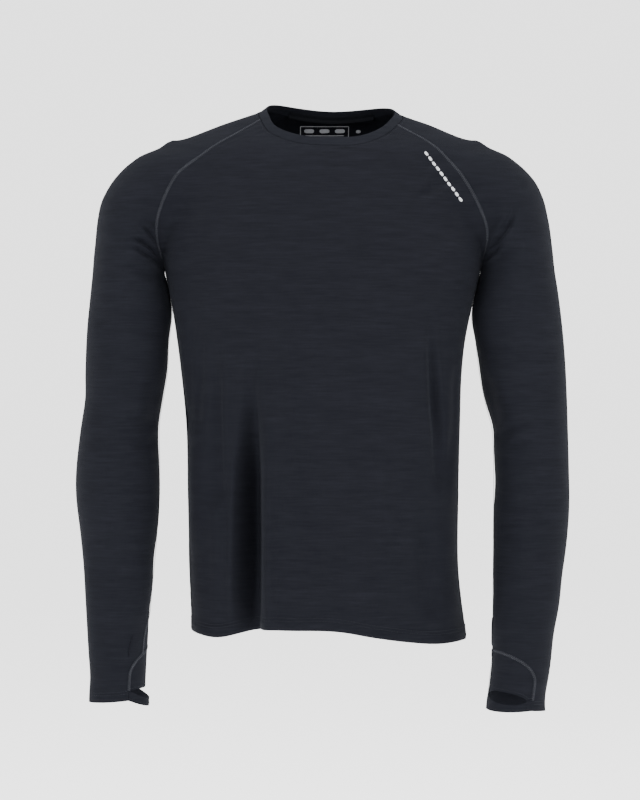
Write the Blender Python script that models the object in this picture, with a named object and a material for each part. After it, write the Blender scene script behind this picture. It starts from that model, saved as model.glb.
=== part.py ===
"""Long-sleeved raglan base layer top, filled out as it is when worn, in the pieces that are cut and sewn.

Metres, +Z up. -Y is the front and +X is the wearer's left. The origin lies between the high points of the
shoulders, where a wearer holds the top up. The cloth lies on a smooth form, given by short tables of level
sections, and each piece is a grid of points on that form between its own seams, thickened inward.
"""

import math

import bmesh
import bpy
import numpy as np

# Cloth and seams
JERSEY = 0.0012
BAND_CLOTH = 0.0020
TAPE_CLOTH = 0.0010
SEAM_GAP = 0.0003

# Neckband and the tape inside the back neck
BAND_WIDTH = 0.0125
TAPE_WIDTH = 0.0100
# How far inside the neck seam the tape lies, clear of the band's thicker cloth
TAPE_OFF = 0.0033

# Grid of each piece: cells across or around, and cells up or along
RAGLAN_CELLS, SIDE_CELLS = 8, 12
FRONT_ACROSS, BACK_ACROSS = 34, 18
SLEEVE_AROUND = 20
YOKE_RINGS, ARM_RINGS, CUFF_RINGS = 8, 9, 4
GUSSET_ROWS = 4
LOOP_CELLS = 8
# Where the front's columns are crowded together, from the wearer's right side seam to the left, for its folds
FOLD_SPOTS = (0.30, 0.84)

# How much wider apart the sleeve's columns are beside the armpit, in degrees, and the lowest and highest point of
# the slanted ring that guides its upper rings
ARMPIT_WIDEN = 26
CROWN_RING = (-0.225, -0.075)

# Level sections of the torso: height, reach to the wearer's right and left, forward and back, squareness.
TORSO = np.array((
    # z, right, left, front, back, square
    (-0.720, -0.174, 0.186, -0.115, 0.117, 2.4),
    (-0.660, -0.175, 0.179, -0.113, 0.113, 2.4),
    (-0.600, -0.177, 0.172, -0.111, 0.108, 2.4),
    (-0.500, -0.179, 0.171, -0.109, 0.102, 2.4),
    (-0.400, -0.181, 0.173, -0.111, 0.103, 2.4),
    (-0.340, -0.187, 0.175, -0.114, 0.107, 2.4),
    (-0.300, -0.192, 0.179, -0.117, 0.111, 2.4),
    (-0.255, -0.199, 0.188, -0.119, 0.115, 2.4),
    (-0.230, -0.204, 0.194, -0.118, 0.117, 2.4),
    (-0.205, -0.209, 0.200, -0.117, 0.118, 2.4),
    (-0.160, -0.218, 0.211, -0.110, 0.118, 2.3),
    (-0.120, -0.227, 0.221, -0.100, 0.114, 2.2),
    (-0.080, -0.230, 0.224, -0.086, 0.108, 2.1),
    (-0.052, -0.218, 0.213, -0.072, 0.101, 2.0),
    (-0.039, -0.197, 0.193, -0.059, 0.096, 2.0),
    (-0.026, -0.166, 0.163, -0.044, 0.090, 2.0),
    (-0.013, -0.134, 0.132, -0.029, 0.083, 2.0),
    (-0.004, -0.108, 0.106, -0.018, 0.076, 2.0),
    (0.010, -0.068, 0.070, -0.003, 0.066, 2.0),
    (0.030, -0.030, 0.032, 0.010, 0.050, 2.0),
))

# Level sections of each sleeve, measured away from the middle: height, inner and outer reach, front and back.
ARMS = {
    "left": np.array((
        # z, inner, outer, front, back
        (-0.800, 0.204, 0.282, -0.088, -0.014),
        (-0.760, 0.206, 0.280, -0.087, -0.012),
        (-0.730, 0.212, 0.285, -0.084, -0.008),
        (-0.700, 0.214, 0.289, -0.080, -0.002),
        (-0.650, 0.215, 0.297, -0.074, 0.010),
        (-0.600, 0.216, 0.305, -0.067, 0.024),
        (-0.550, 0.217, 0.312, -0.061, 0.038),
        (-0.500, 0.218, 0.316, -0.056, 0.050),
        (-0.440, 0.218, 0.316, -0.052, 0.058),
        (-0.410, 0.216, 0.315, -0.053, 0.059),
        (-0.380, 0.208, 0.314, -0.055, 0.059),
        (-0.340, 0.200, 0.312, -0.057, 0.060),
        (-0.300, 0.195, 0.309, -0.059, 0.061),
        (-0.255, 0.1895, 0.304, -0.061, 0.064),
        (-0.230, 0.1955, 0.301, -0.063, 0.067),
        (-0.205, 0.2015, 0.297, -0.066, 0.071),
        (-0.180, 0.2000, 0.294, -0.070, 0.076),
        (-0.140, 0.1860, 0.289, -0.074, 0.081),
        (-0.110, 0.165, 0.281, -0.072, 0.081),
        (-0.085, 0.148, 0.267, -0.063, 0.074),
        (-0.067, 0.156, 0.248, -0.048, 0.060),
        (-0.055, 0.170, 0.228, -0.030, 0.042),
        (-0.046, 0.192, 0.202, -0.004, 0.016),
    )),
    "right": np.array((
        # z, inner, outer, front, back
        (-0.800, 0.232, 0.304, -0.078, -0.006),
        (-0.755, 0.233, 0.304, -0.077, -0.004),
        (-0.730, 0.232, 0.303, -0.074, 0.000),
        (-0.700, 0.231, 0.305, -0.070, 0.006),
        (-0.650, 0.228, 0.309, -0.065, 0.017),
        (-0.600, 0.224, 0.313, -0.061, 0.029),
        (-0.550, 0.220, 0.318, -0.057, 0.042),
        (-0.500, 0.217, 0.324, -0.054, 0.054),
        (-0.460, 0.217, 0.325, -0.052, 0.060),
        (-0.400, 0.217, 0.318, -0.053, 0.061),
        (-0.370, 0.212, 0.314, -0.055, 0.061),
        (-0.340, 0.207, 0.313, -0.057, 0.061),
        (-0.300, 0.205, 0.312, -0.059, 0.062),
        (-0.255, 0.2010, 0.308, -0.061, 0.065),
        (-0.230, 0.2055, 0.306, -0.063, 0.068),
        (-0.205, 0.2105, 0.303, -0.066, 0.071),
        (-0.180, 0.2085, 0.301, -0.070, 0.076),
        (-0.140, 0.1930, 0.297, -0.074, 0.081),
        (-0.110, 0.172, 0.289, -0.072, 0.081),
        (-0.085, 0.153, 0.274, -0.063, 0.074),
        (-0.067, 0.161, 0.254, -0.048, 0.060),
        (-0.055, 0.175, 0.234, -0.030, 0.042),
        (-0.046, 0.197, 0.207, -0.004, 0.016),
    )),
}
SIGN = {"left": 1.0, "right": -1.0}

# The sleeve melts into the torso over the shoulder, and parts from it below the armpit.
ARMPIT = -0.2025
MELT = (0.004, 0.038)
MELT_BAND = (-0.200, -0.110)
PART_BAND = (-0.208, -0.196)
PART_REACH = 0.060
# Heights over which a sleeve's own form takes up the torso, above the armpit
TAKE_UP_BAND = (-0.203, -0.165)

# Turn of the side seams towards the front, at the hem and at the armpit, in degrees
SIDE_SEAM_TURN = (9.0, 1.5)

# Neck seam, all the way round from the middle of the front by the wearer's left.
NECK = np.array((
    # x, y, z
    (0.008, -0.070, -0.0495),
    (0.044, -0.066, -0.0475),
    (0.072, -0.051, -0.0360),
    (0.093, -0.024, -0.0165),
    (0.101, 0.006, -0.0040),
    (0.092, 0.037, 0.0010),
    (0.066, 0.060, 0.0000),
    (0.008, 0.073, -0.0050),
    (-0.052, 0.062, 0.0020),
    (-0.080, 0.036, 0.0030),
    (-0.088, 0.008, -0.0020),
    (-0.085, -0.014, -0.0105),
    (-0.072, -0.044, -0.0310),
    (-0.040, -0.064, -0.0455),
))
NECK_MIDDLE = np.array((0.0065, 0.006))
# The rows of NECK where the raglan seams start
FRONT_LEFT, BACK_LEFT, BACK_RIGHT, FRONT_RIGHT = 3, 6, 8, 11

# Raglan seams between the neck and the armpit, both ends left out
RAGLANS = {
    ("left", "front"): np.array((
        # x, y, z
        (0.137, -0.045, -0.050),
        (0.165, -0.060, -0.077),
        (0.182, -0.070, -0.102),
        (0.1945, -0.073, -0.130),
        (0.203, -0.061, -0.154),
        (0.2055, -0.044, -0.171),
        (0.2045, -0.024, -0.187),
    )),
    ("left", "back"): np.array((
        (0.108, 0.076, -0.036),
        (0.146, 0.090, -0.075),
        (0.176, 0.092, -0.112),
        (0.195, 0.082, -0.142),
        (0.204, 0.058, -0.166),
        (0.2050, 0.030, -0.187),
    )),
    ("right", "front"): np.array((
        (-0.104, -0.028, -0.018),
        (-0.140, -0.048, -0.041),
        (-0.171, -0.060, -0.065),
        (-0.191, -0.068, -0.086),
        (-0.203, -0.074, -0.110),
        (-0.2105, -0.073, -0.135),
        (-0.2145, -0.060, -0.157),
        (-0.2145, -0.042, -0.175),
        (-0.2130, -0.022, -0.190),
    )),
    ("right", "back"): np.array((
        (-0.100, 0.078, -0.036),
        (-0.142, 0.091, -0.075),
        (-0.177, 0.093, -0.112),
        (-0.199, 0.082, -0.142),
        (-0.211, 0.058, -0.166),
        (-0.2135, 0.030, -0.188),
    )),
}

# Height of the hem below the origin, by distance across
FRONT_HEM = np.array((
    # x, z
    (-0.180, -0.671),
    (-0.142, -0.6765),
    (-0.105, -0.667),
    (-0.040, -0.665),
    (0.020, -0.667),
    (0.060, -0.674),
    (0.100, -0.680),
    (0.140, -0.684),
    (0.185, -0.682),
))
BACK_HEM = np.array((
    (-0.180, -0.671),
    (-0.090, -0.679),
    (0.000, -0.681),
    (0.090, -0.682),
    (0.185, -0.682),
))

# The largest folds: x and z where each starts, x and z at its foot, half widths of its two flanks and its depth
# there. A ridge has a negative depth.
FRONT_FOLDS = np.array((
    # x_top, z_top, x_foot, z_foot, right_flank, left_flank, depth
    (-0.093, -0.270, -0.098, -0.760, 0.036, 0.013, 0.034),
    (-0.158, -0.260, -0.172, -0.420, 0.012, 0.012, 0.006),
    (-0.137, -0.280, -0.142, -0.520, 0.012, 0.010, 0.009),
    (0.128, -0.260, 0.152, -0.500, 0.012, 0.012, 0.009),
    (0.122, -0.480, 0.136, -0.660, 0.020, 0.018, 0.006),
))
BACK_FOLDS = np.array((
    (0.085, -0.300, 0.095, -0.760, 0.018, 0.024, 0.016),
    (-0.100, -0.360, -0.110, -0.740, 0.020, 0.016, 0.012),
    (-0.010, -0.420, 0.000, -0.740, 0.020, 0.020, 0.007),
))

# The thumb gusset of each cuff: turn round the sleeve from its inner side, by the front, at which it starts and
# ends, and heights of the sleeve's end, of the foot of the arch and of its top.
GUSSETS = {
    "left": dict(turn=(5, 118), end=-0.769, foot=-0.737, top=-0.694, hole=0.013, tilt=0.0075),
    "right": dict(turn=(-52, 62), end=-0.757, foot=-0.727, top=-0.688, hole=0.004, tilt=0.0),
}
LOOP_WIDTH = 0.0105
# Reach of a wrist from its middle, and how far the sleeve's rings keep from the gusset at the top of the cuff
WRIST_REACH = 0.0375
CUFF_MARGIN = 0.022
# How far each thumb loop stands out from the wrist and sags below the sleeve's end
LOOP_SLACK = {"left": (0.0015, 0.0015), "right": (0.0055, 0.0090)}

CLOTH_COLOUR = (0.0185, 0.0205, 0.0275, 1.0)
TAPE_COLOUR = (0.0120, 0.0130, 0.0180, 1.0)


def curve_through(knots, rows, at):
    """Rows read at places between rising knots, on smooth cubic pieces."""
    knots, rows, at = (np.asarray(a, float) for a in (knots, rows, at))
    slopes = np.gradient(rows, knots, axis=0)
    at = np.clip(at, knots[0], knots[-1])
    piece = np.clip(np.searchsorted(knots, at, side="right") - 1, 0, len(knots) - 2)
    width = (knots[piece + 1] - knots[piece])[..., None]
    t = (at - knots[piece])[..., None] / width
    return (
        (1 + 2 * t) * (1 - t) ** 2 * rows[piece]
        + t * (1 - t) ** 2 * width * slopes[piece]
        + t**2 * (3 - 2 * t) * rows[piece + 1]
        + t**2 * (t - 1) * width * slopes[piece + 1]
    )


def ease(value, low, high):
    """0 below low and 1 above high, with a smooth rise between."""
    t = np.clip((value - low) / (high - low), 0, 1)
    return t * t * (3 - 2 * t)


def along(points, count):
    """count + 1 points at even distances on a smooth curve through points."""
    points = np.asarray(points, float)
    steps = np.linalg.norm(np.diff(points, axis=0), axis=1)
    knots = np.concatenate([[0], np.cumsum(steps)])
    fine = curve_through(knots, points, np.linspace(0, knots[-1], 400))
    run = np.concatenate([[0], np.cumsum(np.linalg.norm(np.diff(fine, axis=0), axis=1))])
    places = np.linspace(0, run[-1], count + 1)
    return np.stack([np.interp(places, run, fine[:, axis]) for axis in range(3)], axis=1)


def section_distance(points, centre, half, square):
    """Rough distance from level superellipse sections, negative inside."""
    share = np.abs(points[..., :2] - centre) / half + 1e-9
    power = square[..., None]
    reach = (share**power).sum(-1) ** (1 / square)
    slope = (share / reach[..., None]) ** (power - 1) / half
    return (reach - 1) / np.linalg.norm(slope, axis=-1)


def torso_section(z):
    """Centre, half sizes and squareness of the torso at heights z."""
    right, left, front, back, square = np.moveaxis(curve_through(TORSO[:, 0], TORSO[:, 1:], z), -1, 0)
    centre = np.stack([(right + left) / 2, (front + back) / 2], -1)
    half = np.stack([(left - right) / 2, (back - front) / 2], -1)
    return centre, half, square


def arm_section(side, z):
    """Centre and half sizes of a sleeve at heights z."""
    table = ARMS[side]
    inner, outer, front, back = np.moveaxis(curve_through(table[:, 0], table[:, 1:], z), -1, 0)
    centre = np.stack([SIGN[side] * (inner + outer) / 2, (front + back) / 2], -1)
    half = np.stack([(outer - inner) / 2, (back - front) / 2], -1)
    return centre, half


def torso_distance(points):
    centre, half, square = torso_section(points[..., 2])
    return section_distance(points, centre, half, square)


def arm_distance(side, points):
    centre, half = arm_section(side, points[..., 2])
    dome = np.maximum(points[..., 2] - ARMS[side][-1, 0], 0)
    return section_distance(points, centre, half, np.full(points.shape[:-1], 2.0)) + dome


def melted(a, b, z):
    """The nearer of two surfaces, run into each other over the shoulder."""
    width = MELT[0] + (MELT[1] - MELT[0]) * ease(z, *MELT_BAND)
    share = np.clip(0.5 + (b - a) / (2 * width), 0, 1)
    return b + (a - b) * share - width * share * (1 - share)


def body_form(points):
    """Distance from the surface that the front and the back lie on."""
    z = points[..., 2]
    arms = np.minimum(arm_distance("left", points), arm_distance("right", points))
    return melted(torso_distance(points), arms + PART_REACH * (1 - ease(z, *PART_BAND)), z)


def sleeve_form(side):
    """Distance from the surface that one sleeve lies on."""

    def distance(points):
        z = points[..., 2]
        torso = torso_distance(points) + PART_REACH * (1 - ease(z, *TAKE_UP_BAND))
        return melted(torso, arm_distance(side, points), z)

    return distance


def arm_form(side):
    """Distance from the surface of one sleeve alone, for what is set into its cuff."""

    def distance(points):
        return arm_distance(side, points)

    return distance


def gradient(form, points, step=0.0005):
    """Slope of a form at points."""
    moves = step * np.eye(3)
    return np.stack([form(points + m) - form(points - m) for m in moves], -1) / (2 * step)


def laid_on(form, points, level=0.0, rounds=8):
    """Points moved straight out or in until they lie on a form."""
    for _ in range(rounds):
        slope = gradient(form, points)
        size = np.maximum((slope**2).sum(-1), 0.05)
        move = (form(points) - level) / size
        points = points - slope * np.clip(move, -0.02, 0.02)[..., None]
    return points


def neck_arc(first, last, count):
    """Points on the neck seam from one row of NECK to another, always by the wearer's left."""
    rows = len(NECK)
    wrapped = np.concatenate([NECK] * 3)
    steps = np.linalg.norm(np.diff(wrapped, axis=0), axis=1)
    knots = np.concatenate([[0], np.cumsum(steps)])
    last += rows * (last <= first)
    places = np.linspace(knots[rows + first], knots[rows + last], count + 1)
    return laid_on(body_form, curve_through(knots, wrapped, places))


def side_turn(side, z):
    """Turn of a side seam at heights z, from the wearer's left by the front."""
    low = FRONT_HEM[-1 if side == "left" else 0, 1]
    turn = np.radians(SIDE_SEAM_TURN[0] + (SIDE_SEAM_TURN[1] - SIDE_SEAM_TURN[0]) * ease(z, low, ARMPIT))
    return turn if side == "left" else math.pi - turn


def torso_point(turn, z):
    """Point on the torso at a turn from the wearer's left by the front, in radians, at height z."""
    centre, half, square = torso_section(z)
    across, forward = np.cos(turn), -np.sin(turn)
    power = (2 / square)[..., None]
    round_part = np.stack([across, forward], -1)
    level = centre + half * np.sign(round_part) * np.abs(round_part) ** power
    return np.concatenate([level, z[..., None]], -1)


def side_seam(side, count):
    """Points up a side seam, from the hem to the armpit."""
    z = np.linspace(FRONT_HEM[-1 if side == "left" else 0, 1], ARMPIT, count + 1)
    return torso_point(side_turn(side, z), z)


def hem(face, places):
    """Points along the hem of the front or the back, from the wearer's right to left, at places from 0 to 1."""
    first, last = (side_turn(side, FRONT_HEM[row, 1]) for side, row in (("right", 0), ("left", -1)))
    if face == "front":
        turn = first + places * (last - first)
        table = FRONT_HEM
    else:
        turn = first + places * (last + 2 * math.pi - first)
        table = BACK_HEM
    x = torso_point(turn, np.full(places.shape, table[0, 1]))[:, 0]
    z = curve_through(table[:, 0], table[:, 1:], x)[:, 0]
    ends = (side_seam("right", 1)[0, 2], side_seam("left", 1)[0, 2])
    z[0], z[-1] = ends
    return torso_point(turn, z)


def raglan(side, face, count):
    """Points up a raglan seam, from the armpit to the neck."""
    corner = {
        ("left", "front"): FRONT_LEFT,
        ("left", "back"): BACK_LEFT,
        ("right", "front"): FRONT_RIGHT,
        ("right", "back"): BACK_RIGHT,
    }[side, face]
    foot = side_seam(side, 1)[-1]
    rows = np.concatenate([[foot], RAGLANS[side, face][::-1], [NECK[corner]]])
    points = along(rows, 60)
    high = points[:, 2] > PART_BAND[1]
    points[high] = laid_on(body_form, points[high])
    return along(points, count)


def patch(bottom, top, first, last):
    """Grid of points between four edges, first and last running from bottom to top."""
    u = np.linspace(0, 1, len(bottom))[None, :, None]
    v = np.linspace(0, 1, len(first))[:, None, None]
    grid = (1 - v) * bottom[None] + v * top[None] + (1 - u) * first[:, None] + u * last[:, None]
    corners = (1 - v) * ((1 - u) * bottom[0] + u * bottom[-1]) + v * ((1 - u) * top[0] + u * top[-1])
    return grid - corners


def edge_level(form, grid, closed):
    """How far a piece's own edges lie off its form, fading out away from them, so that no edge kinks."""
    fade = 0.030
    level = np.zeros(grid.shape[:2])
    rows = np.cumsum(np.linalg.norm(np.diff(grid, axis=0, prepend=grid[:1]), axis=2), axis=0)
    level += form(grid[0])[None] * np.exp(-rows / fade)
    level += form(grid[-1])[None] * np.exp(-(rows[-1:] - rows) / fade)
    if not closed:
        columns = np.cumsum(np.linalg.norm(np.diff(grid, axis=1, prepend=grid[:, :1]), axis=2), axis=1)
        level += form(grid[:, 0])[:, None] * np.exp(-columns / fade)
        level += form(grid[:, -1])[:, None] * np.exp(-(columns[:, -1:] - columns) / fade)
    return level


def settled(form, grid, closed=False, rounds=30):
    """A grid evened out and laid on its form, with its edges held."""
    grid = grid.copy()
    inner = np.s_[1:-1, :] if closed else np.s_[1:-1, 1:-1]
    for turn in range(rounds):
        if closed:
            sides = np.roll(grid, 1, axis=1)[1:-1] + np.roll(grid, -1, axis=1)[1:-1]
            ends = grid[:-2] + grid[2:]
        else:
            sides = grid[1:-1, :-2] + grid[1:-1, 2:]
            ends = grid[:-2, 1:-1] + grid[2:, 1:-1]
        if turn:
            grid[inner] += 0.5 * ((sides + ends) / 4 - grid[inner])
        level = edge_level(form, grid, closed)
        grid[inner] = laid_on(form, grid[inner], level[inner], rounds=8 if turn in (0, rounds - 1) else 2)
    return grid


def normals(grid, closed):
    """Unit normals of a grid, from its own rows and columns."""
    if closed:
        across = np.roll(grid, -1, axis=1) - np.roll(grid, 1, axis=1)
    else:
        across = np.gradient(grid, axis=1)
    up = np.gradient(grid, axis=0)
    normal = np.cross(across, up)
    return normal / np.linalg.norm(normal, axis=-1, keepdims=True)


def folded(grid, folds):
    """A body panel with its folds pressed in along the panel's own normals."""
    x, z = grid[..., 0], grid[..., 2]
    depth = np.zeros(x.shape)
    for x_top, z_top, x_foot, z_foot, right_flank, left_flank, deep in folds:
        run = (z_top - z) / (z_top - z_foot)
        middle = x_top + (x_foot - x_top) * run
        off = x - middle
        flank = np.where(off < 0, right_flank, left_flank) * (0.5 + 0.5 * np.clip(run, 0, 1))
        fade = ease(run, 0, 0.55) * (1 - ease(run, 0.85, 1.0) * (z_foot > -0.70))
        depth += deep * fade * np.exp(-((off / flank) ** 2))
    out = normals(grid, False)
    out *= np.sign((out[..., 1] * np.sign(grid[..., 1].mean())).sum())
    return grid - out * depth[..., None]


def drawn_in(grid, closed=False):
    """A grid with its edges drawn in by half of the gap that the pieces keep at a seam."""
    grid = grid.copy()

    def draw(edge, neighbour):
        step = neighbour - edge
        return edge + step / np.linalg.norm(step, axis=-1, keepdims=True) * SEAM_GAP / 2

    first, last = draw(grid[0], grid[1]), draw(grid[-1], grid[-2])
    grid[0], grid[-1] = first, last
    if not closed:
        left, right = draw(grid[:, 0], grid[:, 1]), draw(grid[:, -1], grid[:, -2])
        grid[:, 0], grid[:, -1] = left, right
    return grid


def spread(count, spots, crowd=1.6, reach=0.09):
    """count + 1 places from 0 to 1, closer together round some spots."""
    fine = np.linspace(0, 1, 801)
    density = np.ones(fine.shape)
    for spot in spots:
        density += crowd * np.exp(-(((fine - spot) / reach) ** 2))
    run = np.concatenate([[0], np.cumsum((density[1:] + density[:-1]) / 2)])
    return np.interp(np.linspace(0, run[-1], count + 1), run, fine)


def resampled(points, places):
    """Points on a polyline at places from 0 to 1 of its length."""
    run = np.concatenate([[0], np.cumsum(np.linalg.norm(np.diff(points, axis=0), axis=1))])
    at = np.asarray(places) * run[-1]
    return np.stack([np.interp(at, run, points[:, axis]) for axis in range(3)], axis=1)


def body_edge(side, face):
    """Points up the side seam and then the raglan seam, one of them exactly at the armpit."""
    return np.concatenate([side_seam(side, SIDE_CELLS)[:-1], raglan(side, face, RAGLAN_CELLS)])


def body_places(face):
    """Where the columns of the front or the back lie, from 0 at the wearer's right to 1 at the left."""
    return spread(FRONT_ACROSS, FOLD_SPOTS) if face == "front" else spread(BACK_ACROSS, ())


def neck_edge(face):
    """Points along the top edge of the front or the back, from the wearer's right to left."""
    if face == "front":
        return resampled(neck_arc(FRONT_RIGHT, FRONT_LEFT, 60), body_places(face))
    return resampled(neck_arc(BACK_LEFT, BACK_RIGHT, 60)[::-1], body_places(face))


def body_panel(face):
    """Grid of the front or the back, row by row from the hem to the neck, from the wearer's right to left."""
    grid = patch(hem(face, body_places(face)), neck_edge(face), body_edge("right", face), body_edge("left", face))
    if face == "back":
        grid[1:-1, 1:-1, 1] = np.maximum(grid[1:-1, 1:-1, 1], 0.03)
    return settled(body_form, grid, rounds=40)


def arm_point(side, turn, z):
    """Point on a sleeve at a turn in degrees from its inner side by the front, at height z."""
    centre, half = arm_section(side, z)
    turn = np.radians(turn)
    reach = np.stack([-SIGN[side] * np.cos(turn), -np.sin(turn)], -1)
    return np.concatenate([centre + half * reach, np.asarray(z)[..., None]], -1)


def notch_columns(side):
    """Where the thumb gusset's opening lies among the sleeve's columns: its first column, and how many cells go
    up its tall side, over its arch and down its short side."""
    first, last = (round(turn * SLEEVE_AROUND / 360) for turn in GUSSETS[side]["turn"])
    notch = last - first
    rise, fall = max(1, round(notch * 0.2)), max(1, round(notch * 0.12))
    return first, rise, notch - rise - fall, fall


def cuff_edge(side, margin=0.0):
    """Turn and height of the sleeve's lower edge, column by column: up one side of the thumb gusset, over its
    arch, down the other side and round the end of the sleeve. With a margin, a ring that keeps off the gusset."""
    gusset = GUSSETS[side]
    off = SEAM_GAP / 2 + margin
    aside = math.degrees(off / WRIST_REACH)
    first, rise, over, fall = notch_columns(side)
    rest = SLEEVE_AROUND - rise - over - fall
    angle = np.linspace(math.pi / 2, 0, over + 1)[1:-1]
    near, far = gusset["turn"][0] - aside, gusset["turn"][1] + aside
    top, foot, end = gusset["top"] + off, gusset["foot"] + margin, gusset["end"]
    turns = [
        np.full(rise + 1, near),
        near + (far - near) * np.cos(angle),
        np.full(fall + 1, far),
        np.linspace(far, near + 360, rest + 1)[1:-1],
    ]
    heights = [
        np.linspace(end, top, rise + 1),
        foot + (top - foot) * np.sin(angle),
        np.linspace(foot, end, fall + 1),
        np.full(rest - 1, end),
    ]
    return np.roll(np.concatenate(turns), first), np.roll(np.concatenate(heights), first)


def sleeve_neck(side):
    """Points along the short edge where a sleeve meets the neckband, from the front to the back."""
    count = SLEEVE_AROUND - 2 * RAGLAN_CELLS
    if side == "left":
        return neck_arc(FRONT_LEFT, BACK_LEFT, count)
    return neck_arc(BACK_RIGHT, FRONT_RIGHT, count)[::-1]


def sleeve_seam(side):
    """The seam loop at the top of a sleeve: up the front raglan, round the neck and down the back raglan."""
    front, back = (raglan(side, face, RAGLAN_CELLS) for face in ("front", "back"))
    return np.concatenate([front[:-1], sleeve_neck(side)[:-1], back[:0:-1]])


def yoke_turns():
    """Turns of the sleeve's columns at the shoulder: the first ones past the armpit are wider apart."""
    even = np.arange(SLEEVE_AROUND) / SLEEVE_AROUND
    from_inside = 1 - np.abs(2 * even - 1)
    widen = np.sign(0.5 - even) * ARMPIT_WIDEN * np.sin(math.pi * np.sqrt(from_inside))
    return 360 * even + widen


def crown_ring(side, turn):
    """A slanted ring over the shoulder and under the armpit, to guide the sleeve's upper rings."""
    inner = arm_point(side, 0, np.array(CROWN_RING[0]))
    outer = arm_point(side, 180, np.array(CROWN_RING[1]))
    middle, half = (inner + outer) / 2, (outer - inner) / 2
    turn = np.radians(turn)[:, None]
    return middle - np.cos(turn) * half + np.sin(turn) * np.array((0, -0.080, 0))


def sleeve(side):
    """Grid of a sleeve, ring by ring from the raglan seams and the neck to the cuff."""
    around = SLEEVE_AROUND
    even = np.arange(around) * 360 / around
    turn = yoke_turns()
    seam = sleeve_seam(side)
    upper_arm, wrist = -0.262, -0.638
    guides = np.stack([seam, crown_ring(side, turn), arm_point(side, turn, np.full(around, upper_arm))])
    t = np.linspace(0, 1, YOKE_RINGS + 1)
    yoke = curve_through([0, 0.45, 1], guides.reshape(3, -1), t).reshape(len(t), around, 3)
    yoke = settled(sleeve_form(side), yoke, closed=True, rounds=1)
    arm = []
    for share in np.linspace(0, 1, ARM_RINGS + 1)[1:]:
        z = upper_arm + (wrist - upper_arm) * share
        arm.append(arm_point(side, turn + (even - turn) * share, np.full(around, z)))
    cuff = []
    for share in np.linspace(0, 1, CUFF_RINGS + 1)[1:]:
        end_turn, end_z = cuff_edge(side, CUFF_MARGIN * (1 - share))
        end_turn += 360 * np.round((even - end_turn) / 360)
        ring_turn = even + (end_turn - even) * ease(share, 0, 1)
        cuff.append(arm_point(side, ring_turn, wrist + (end_z - wrist) * share))
    return np.concatenate([yoke, np.stack(arm), np.stack(cuff)])


def thumb_lips(side, turn):
    """Heights of the upper and lower lip of the thumb hole at a turn round the sleeve."""
    gusset = GUSSETS[side]
    start, stop = gusset["turn"]
    share = np.clip((turn - start - 3) / (stop - start - 14), 0, 1)
    open_by = gusset["hole"] / 2 * np.sqrt(np.sin(math.pi * share))
    middle = gusset["end"] + LOOP_WIDTH + gusset["hole"] / 2 - gusset["tilt"] * (share - 0.5)
    return middle + open_by + SEAM_GAP / 2, middle - open_by - SEAM_GAP / 2


def notch_side(side, tall, z):
    """Points at heights z on one of the two straight sides of the opening that the thumb gusset fills."""
    gusset = GUSSETS[side]
    turn = gusset["turn"][0 if tall else 1]
    low, high = arm_point(side, turn, np.array((gusset["end"], gusset["top" if tall else "foot"])))
    share = (z - low[2]) / (high[2] - low[2])
    return low + share[:, None] * (high - low)


def gusset_panel(side):
    """Grid of the quarter-round panel above the thumb hole."""
    gusset = GUSSETS[side]
    start, stop = gusset["turn"]
    _, _, over, _ = notch_columns(side)
    angle = np.linspace(0, math.pi / 2, over + 1)
    turn = start + (stop - start) * np.sin(angle)
    lip = thumb_lips(side, turn)[0]
    arch = gusset["foot"] + (gusset["top"] - gusset["foot"]) * np.cos(angle)
    first = notch_side(side, True, np.linspace(lip[0], arch[0], GUSSET_ROWS + 1))
    last = notch_side(side, False, np.linspace(lip[-1], arch[-1], GUSSET_ROWS + 1))
    bottom, top = arm_point(side, turn, lip), arm_point(side, turn, arch)
    bottom[0], bottom[-1] = first[0], last[0]
    return patch(bottom, top, first, last)


def thumb_loop(side):
    """Grid of the narrow band under the thumb hole, which stands a little off the wrist."""
    start, stop = GUSSETS[side]["turn"]
    stand_out, sag = LOOP_SLACK[side]
    turn = np.linspace(start, stop, LOOP_CELLS + 1)
    bulge = np.sin(math.pi * (turn - start) / (stop - start))
    heights = np.stack([np.full(turn.shape, GUSSETS[side]["end"]), thumb_lips(side, turn)[1]])
    rows = []
    for z in heights:
        points = arm_point(side, turn, z)
        away = points[:, :2] - arm_section(side, z)[0]
        points[:, :2] += away / np.linalg.norm(away, axis=1, keepdims=True) * (stand_out * bulge)[:, None]
        points[:, 2] -= sag * bulge
        rows.append(points)
    grid = np.stack(rows)
    grid[:, 0] = notch_side(side, True, heights[:, 0])
    grid[:, -1] = notch_side(side, False, heights[:, -1])
    return grid


def neck_ring():
    """Points all round the neck seam, each of them on a corner of the piece below it."""
    arcs = (neck_edge("front")[::2], sleeve_neck("left"), neck_edge("back")[::-2], sleeve_neck("right")[::-1])
    return np.concatenate([arc[:-1] for arc in arcs])


def neckband():
    """Grid of the neckband: three rings from the neck seam to its free edge."""
    seam = neck_ring()
    inward = NECK_MIDDLE - seam[:, :2]
    inward /= np.linalg.norm(inward, axis=1, keepdims=True)
    # The band stands up in front and behind, and lies flatter over the shoulders.
    rise = np.radians(34 + 34 * np.abs(inward[:, 1]) ** 1.5)
    way = np.concatenate([inward * np.cos(rise)[:, None], np.sin(rise)[:, None]], 1)
    start = seam + way * SEAM_GAP
    return np.stack([start + way * BAND_WIDTH * share for share in (0, 0.5, 1)])


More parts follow.
